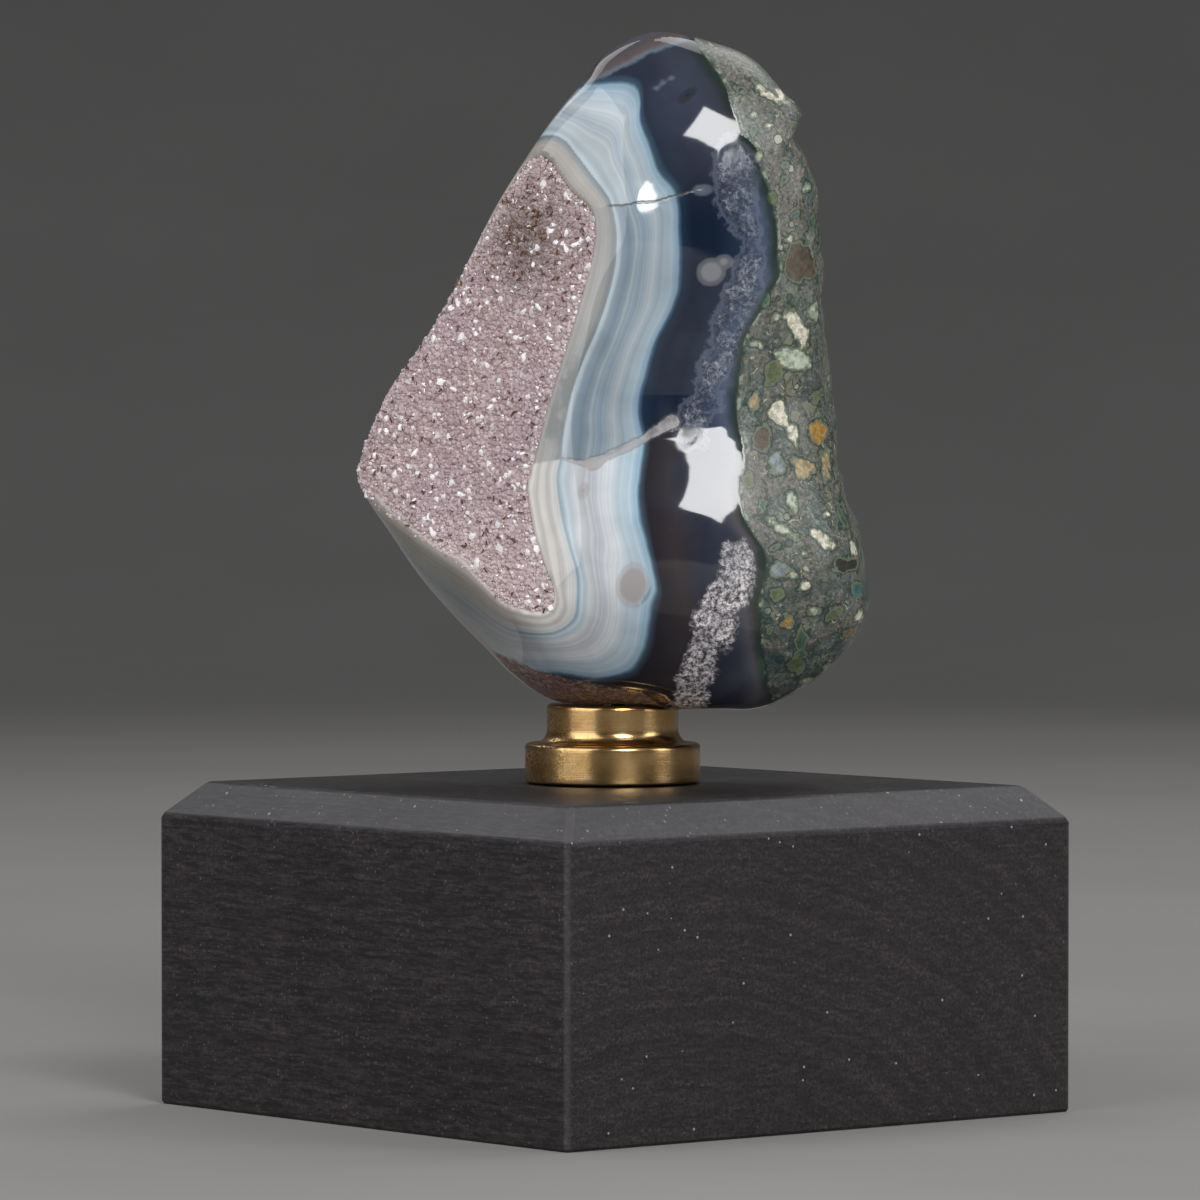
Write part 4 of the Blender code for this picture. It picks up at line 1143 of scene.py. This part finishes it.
def makeCrust(material):
    chance = np.random.default_rng(druse["seed"])
    slab, faces = crustSlab()
    grid, deep = crystalGrid(chance)
    count = len(grid)
    half = chance.uniform(*druse["width"], count)
    half *= np.where(chance.random(count) < druse["widerShare"], druse["wider"], 1.0)
    half *= druse["edgeWidth"] + (1 - druse["edgeWidth"]) * smoothstep(0.0, druse["edgeWidthUntil"], deep)
    tall = chance.uniform(*druse["tall"], count)
    axis = np.column_stack([chance.normal(0, druse["lean"], (count, 2)), np.ones(count)])
    base = druseSurface(grid[:, 0], grid[:, 1], deep)
    big = chance.random(count) < druse["bigShare"]
    half = np.where(big, chance.uniform(*druse["bigWidth"], count), half)
    tall = np.where(big, tall + druse["bigTaller"], tall)
    middleX, middleY = toPhoto(toWorld(fromFace(grid[:, 0], grid[:, 1], base)))
    smokyX, smokyY, smokyWide, smokyTall = druse["smoky"]
    cluster = np.exp(-(((middleX - smokyX) / smokyWide) ** 2 + ((middleY - smokyY) / smokyTall) ** 2))
    # crystals chosen to be painted near white, as painted glints
    everywhere, added, glintX, glintWide = druse["paintedGlint"]
    paintedGlint = chance.random(count) < everywhere + added * np.exp(-((middleX - glintX) / glintWide) ** 2)
    paintedGlint = paintedGlint | (big & (chance.random(count) < druse["bigGlintShare"]))
    slimmer = chance.uniform(*druse["bigNarrow"], count)
    narrow = np.where(big, slimmer, chance.uniform(*druse["narrow"], count))
    foot = np.column_stack([grid, base - druse["sunk"]])
    peak = np.where(big, druse["bigPeak"], druse["peak"])
    solids = crystals(chance, foot, axis, half, tall, narrow, peak)

    # brown needles lying between the crystals, thickest in the smoky part and along the right
    total = druse["needles"]
    everywhere, inSmoky, atBorder = druse["needleOdds"]
    border = np.exp(-((deep - druse["needleBorder"]) / druse["needleBorder"]) ** 2)
    odds = everywhere + inSmoky * cluster + atBorder * border
    chosen = chance.choice(count, total, replace=False, p=odds / odds.sum())
    flat = chance.normal(0, 1, (total, 2))
    flat /= np.linalg.norm(flat, axis=1)[:, None]
    lying = np.column_stack([flat, chance.uniform(*druse["needleRise"], total)])
    rest = np.column_stack([grid[chosen], base[chosen] + druse["needleLift"]])
    thin = chance.uniform(*druse["needleWidth"], total)
    long = chance.uniform(*druse["needleLength"], total)
    needles = crystals(chance, rest, lying, thin, long, np.ones(total), druse["peak"])
    solids = np.concatenate([solids, needles])

    corners = solids.shape[1]
    shift = len(slab) + np.arange(len(solids))[:, None, None] * corners
    sides = np.array([[corner, (corner + 1) % 6, 6 + (corner + 1) % 6, 6 + corner] for corner in range(6)])
    points = np.array([[6 + corner, 6 + (corner + 1) % 6, 12] for corner in range(6)])
    faces += (shift + sides).reshape(-1, 4).tolist() + (shift + points).reshape(-1, 3).tolist()
    faces += (shift[:, :, 0] + np.arange(5, -1, -1)).tolist()
    places = np.concatenate([slab, fromFace(*solids.reshape(-1, 3).T)])
    piece = addMesh("amethystCrystals", toWorld(places), faces, material, smooth=False)
    values = {  # on the slab, on each crystal and on the needles
        "tint": (0.35, chance.random(count), 0.0),
        "speck": (0.0, np.zeros(count), 1.0),
        "paintedGlint": (0.0, paintedGlint.astype(float), 0.0),
        "smoky": (0.0, cluster, 0.0),
        "lower": (0.0, smoothstep(*druse["lower"], middleY), 0.0),
        "border": (0.0, 1 - smoothstep(*druse["border"], deep), 0.0),
    }
    for name, (onSlab, onCrystals, onNeedles) in values.items():
        each = np.concatenate([onCrystals, np.full(total, onNeedles)])
        addValues(piece, name, np.concatenate([np.full(len(slab), onSlab), np.repeat(each, corners)]))
    return piece


def crustMaterial():
    material, tree, shader, where = startMaterial("paleAmethyst")
    colour = colourRamp(tree, readValue(tree, "tint"), druse["tones"])
    wide = rise(tree, noise(tree, where, 70.0, 4.0, 0.6), 0.35, 0.65, 0.0, 0.45)
    colour = paint(tree, colour, druse["lilac"], wide)
    for name, amount, over in druse["tints"]:
        colour = paint(tree, colour, over, readValue(tree, name), amount)
    setInputs(tree, shader, {"Base Color": colour, "Roughness": 0.16, "IOR": 1.55})
    return material


amethystCrystals = makeCrust(crustMaterial())
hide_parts("amethyst_crust")
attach(amethystCrystals, "root")
print("crust made", len(amethystCrystals.data.polygons), "faces")


# The turned collar: its profile runs from the bore's foot round the outside and back to the bore
collar = {
    "bottom": 0.0513,
    "top": 0.0635,
    "ring": 0.01375,
    "ringHeight": 0.0061,
    "neck": 0.01035,
    "shoulder": 0.0007,
    "fillet": 0.0020,
    "neckRound": 0.0006,
    "footRound": 0.0004,
    "bore": 0.0023,
    "steps": 192,
    "tones": [(0.30, 190, 150, 96), (0.50, 210, 172, 116), (0.70, 224, 190, 136)],
    "tarnish": (70, 46, 28),
}


def arcPoints(middle, radius, start, end, count):  # points of an arc, angles in degrees
    angle = np.radians(np.linspace(start, end, count))
    return np.column_stack([middle[0] + radius * np.cos(angle), middle[1] + radius * np.sin(angle)])


def makeCollar(material):  # the profile carried round the upright axis
    low, high, ring, neck = collar["bottom"], collar["top"], collar["ring"], collar["neck"]
    ringTop = low + collar["ringHeight"]
    foot, shoulder, fillet, edge = (collar[name] for name in ("footRound", "shoulder", "fillet", "neckRound"))
    profile = np.concatenate([
        [(collar["bore"], low)],
        np.column_stack([np.linspace(0.004, ring - 0.001, 5), np.full(5, low)]),
        arcPoints((ring - foot, low + foot), foot, -90, 0, 5),
        np.column_stack([np.full(5, ring), np.linspace(low + 0.0010, ringTop - 0.0012, 5)]),
        arcPoints((ring - shoulder, ringTop - shoulder), shoulder, 0, 90, 8),
        np.column_stack([np.linspace(ring - 0.0010, neck + fillet + 0.0001, 4), np.full(4, ringTop)]),
        arcPoints((neck + fillet, ringTop + fillet), fillet, 270, 180, 12),
        np.column_stack([np.full(3, neck), np.linspace(ringTop + fillet + 0.0004, high - edge - 0.0003, 3)]),
        arcPoints((neck - edge, high - edge), edge, 0, 90, 7),
        np.column_stack([np.linspace(neck - 0.0015, 0.004, 4), np.full(4, high)]),
        [(collar["bore"], high)],
    ])
    angle = np.linspace(0, 2 * math.pi, collar["steps"], endpoint=False)
    radius, height = profile[:, :1], profile[:, 1:]
    level = np.broadcast_to(height, (len(profile), len(angle)))
    points = np.stack([radius * np.cos(angle), radius * np.sin(angle), level], -1).reshape(-1, 3)
    quads = ringQuads(len(profile), len(angle), closed=True)
    return addMesh("turnedCollar", points, quads.tolist(), material)


def brassMaterial():
    material, tree, shader, where = startMaterial("brushedBrass")
    across, deep, height = split(tree, where)
    radius = calc(tree, "SQRT", timesPlus(tree, across, across, times(tree, deep, deep)))
    turned = streaks(tree, timesPlus(tree, radius, 0.8, height), 7000.0, 4.0, 0.75)
    grit = noise(tree, where, 2300.0, 3.0, 0.8)
    # tarnish in patches, thickest on the photograph's left
    sockets = {0: where, 1: tuple(-alongPhoto)}
    leftward = addNode(tree, "VectorMath", sockets, operation="DOT_PRODUCT").outputs["Value"]
    patch = rise(tree, noise(tree, where, 150.0, 4.0, 0.6), 0.36, 0.56, 0.45, 1.0)
    patch = times(tree, patch, rise(tree, leftward, 0.0045, 0.0105, 0.10, 1.0))
    tarnish = times(tree, rise(tree, grit, 0.47, 0.55), patch)
    colour = colourRamp(tree, noise(tree, where, 260.0, 5.0, 0.7), collar["tones"])
    colour = paint(tree, colour, collar["tarnish"], tarnish, 0.85)
    rough = mixValues(tree, tarnish, rise(tree, turned, 0.3, 0.7, 0.14, 0.22), 0.55)
    setInputs(tree, shader, {"Base Color": colour, "Metallic": 1.0, "Roughness": rough})
    bump(tree, shader, timesPlus(tree, grit, 0.15, turned), 0.00002, 0.40)
    return material


turnedCollar = makeCollar(brassMaterial())
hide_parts("brass_collar")
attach(turnedCollar, "root")
print("collar made")

block = {  # the painted block: its tones, and in metres the foot of its chamfers and the middle of its rings
    "paint": [(0.30, 26, 22, 24), (0.55, 31, 26, 28), (0.75, 34, 29, 31)],
    "dust": (168, 166, 164),
    "dustFilmAndLight": (146, 147, 152),
    "pit": (8, 8, 9),
    "edgeHighlight": (84, 81, 82),
    "chamferFoot": 0.0458,
    "ringCentre": (0.030, 0.0, 0.060),
}


def woodMaterial():
    material, tree, shader, where = startMaterial("blackPaintedWood")
    across, deep, height = split(tree, where)
    # long grain along Y; the growth rings are circles about a far line along Y and show as arcs on the end
    centre = stretched(tree, where, (1.0, 0.10, 1.0), block["ringCentre"])
    parts = split(tree, centre)
    far = calc(tree, "SQRT", timesPlus(tree, parts[0], parts[0], times(tree, parts[2], parts[2])))
    rings = streaks(tree, timesPlus(tree, noise(tree, centre, 22.0, 3.0, 0.5), 0.010, far), 420.0, 3.0, 0.6)
    fibre = noise(tree, stretched(tree, where, (1.0, 0.13, 1.0)), 1800.0, 4.0, 0.75)
    dashes = noise(tree, stretched(tree, where, (0.22, 1.0, 1.0)), 1500.0, 3.0, 0.6)
    blotch = noise(tree, where, 28.0, 3.0, 0.6)
    grain = times(tree, rise(tree, fibre, 0.40, 0.62, 0.32, 2.00), rise(tree, dashes, 0.40, 0.62, 0.65, 1.40),
                  rise(tree, rings, 0.38, 0.64, 0.80, 1.30))
    colour = brighten(tree, colourRamp(tree, blotch, block["paint"]), grain)

    # a pale film on the chamfers, part dust and part painted light from above, fine dust mostly on top, some
    # larger specks, and small pits
    colour = paint(tree, colour, block["dustFilmAndLight"], between(tree, height, 0.0456, 0.0462, 0.0505, 0.0509), 0.135)
    patchy = rise(tree, noise(tree, where, 120.0, 4.0, 0.6), 0.42, 0.62, 0.35, 1.0)
    upward = rise(tree, height, 0.0445, 0.0475, 0.30, 1.0)
    fineDust = times(tree, specks(tree, where, 1100.0, 0.30, 0.22), patchy, upward, 0.55)
    bigDust = times(tree, specks(tree, where, 420.0, 0.30, 0.105), 0.75)
    colour = paint(tree, colour, block["dust"], calc(tree, "MAXIMUM", fineDust, bigDust))
    colour = paint(tree, colour, block["pit"], specks(tree, where, 260.0, 0.08, 0.075), 0.8)

    # painted highlight along the upright corners and where two chamfers meet
    corner = calc(tree, "ADD", calc(tree, "ABSOLUTE", across), calc(tree, "ABSOLUTE", deep))
    slope = calc(tree, "MAXIMUM", calc(tree, "SUBTRACT", height, block["chamferFoot"]), 0.0)
    corner = rise(tree, timesPlus(tree, slope, 2.0, corner), 0.1005, 0.1011)
    colour = paint(tree, colour, block["edgeHighlight"], corner, rise(tree, slope, 0.0, 0.0004, 0.22, 0.75))
    rough = rise(tree, blotch, 0.3, 0.7, 0.46, 0.56)
    setInputs(tree, shader, {"Base Color": colour, "Roughness": rough})
    bump(tree, shader, timesPlus(tree, rings, 0.6, fibre), 0.00010, 0.80)
    return material


def steelMaterial():
    material, tree, shader, where = startMaterial("groundSteel")
    turned = streaks(tree, split(tree, where)[2], 6000.0)
    colour = colourRamp(tree, turned, [(0.3, 128, 130, 134), (0.7, 176, 178, 182)])
    rough = rise(tree, turned, 0.3, 0.7, 0.25, 0.4)
    setInputs(tree, shader, {"Base Color": colour, "Metallic": 1.0, "Roughness": rough})
    bump(tree, shader, turned, 0.00002, 0.4)
    return material


for nodeName, finish in (("wood_base", woodMaterial()), ("mounting_pin", steelMaterial())):
    for holder in bpy.data.objects[nodeName].material_slots:
        holder.material = finish
print("block and pin finished")

# The studio: a pale bowl of a floor, two soft boxes, a soft light overhead and a dim surround
studio = {
    "floorFlat": 1.5,
    "floorReach": 3.2,
    "floorRise": 1.3,
    "floorRings": 60,
    "floorSpokes": 128,
    "floorTone": (150, 148, 146),
    "world": (0.30, 0.31, 0.33),
    "worldStrength": 0.30,
    "aimHeight": 0.10,
    # degrees right of the camera, degrees up, degrees rolled, distance, width, height, watts
    "lights": [
        ("keyBox", 18.5, 25, 32, 1.45, 0.48, 0.56, 12.5),
        ("leftBox", -54, 23, 0, 1.20, 1.10, 1.10, 8.0),
        ("rightBox", 70, 18, 0, 1.10, 0.34, 0.66, 2.2),
        ("rimBox", -138, 40, 0, 1.20, 0.60, 0.60, 1.6),
        ("topBox", 140, 54, 0, 1.20, 0.90, 0.90, 5.0),
    ],
}


def makeFloor():  # flat near the part, then rising with the square of the distance past a radius
    rings, spokes = studio["floorRings"], studio["floorSpokes"]
    flat, far = studio["floorFlat"], studio["floorReach"]
    inner = np.linspace(0.02, flat, 24)
    reach = np.concatenate([inner, np.linspace(flat + 0.05, far, rings - len(inner))])
    height = studio["floorRise"] * (np.clip(reach - flat, 0, None) / (far - flat)) ** 2
    angle = np.linspace(0, 2 * math.pi, spokes, endpoint=False)
    points = np.stack([np.outer(reach, np.cos(angle)), np.outer(reach, np.sin(angle)),
                       np.repeat(height[:, None], spokes, axis=1)], -1).reshape(-1, 3)
    points = np.concatenate([points, [[0.0, 0.0, 0.0]]])
    quads = ringQuads(rings, spokes)[:, [0, 3, 2, 1]]
    fan = [(rings * spokes, column, (column + 1) % spokes) for column in range(spokes)]
    material, tree, shader, where = startMaterial("paleFloor")
    darker = studio["floorTone"]
    lighter = [value + 5 for value in darker]
    colour = colourRamp(tree, noise(tree, where, 6.0), [(0.3, *darker), (0.7, *lighter)])
    setInputs(tree, shader, {"Base Color": colour, "Roughness": 0.85, "Specular IOR Level": 0.0})
    return addMesh("paleFloor", points, quads.tolist() + fan, material)


def makeLights():
    world = bpy.data.worlds.new("dimSurround")
    world.use_nodes = True
    background = world.node_tree.nodes["Background"]
    background.inputs[0].default_value = (*studio["world"], 1.0)
    background.inputs[1].default_value = studio["worldStrength"]
    bpy.context.scene.world = world
    bpy.context.scene.view_settings.view_transform = "Standard"
    towardCamera = -intoPhoto
    for name, turned, raised, rolled, distance, wide, tall, watts in studio["lights"]:
        angle, lift = math.radians(turned), math.radians(raised)
        side = (towardCamera * math.cos(angle) + alongPhoto * math.sin(angle)) * math.cos(lift)
        aim = Vector((0.0, 0.0, studio["aimHeight"]))
        data = bpy.data.lights.new(name, "AREA")
        data.shape = "RECTANGLE"
        data.size, data.size_y = wide, tall
        data.energy = watts
        light = bpy.data.objects.new(name, data)
        light.location = aim + Vector((side + straightUp * math.sin(lift)) * distance)
        facing = (aim - light.location).to_track_quat("-Z", "Y")
        light.rotation_euler = (facing @ Quaternion((0, 0, 1), -math.radians(rolled))).to_euler()
        bpy.context.scene.collection.objects.link(light)


makeFloor()
makeLights()
print("stage set")
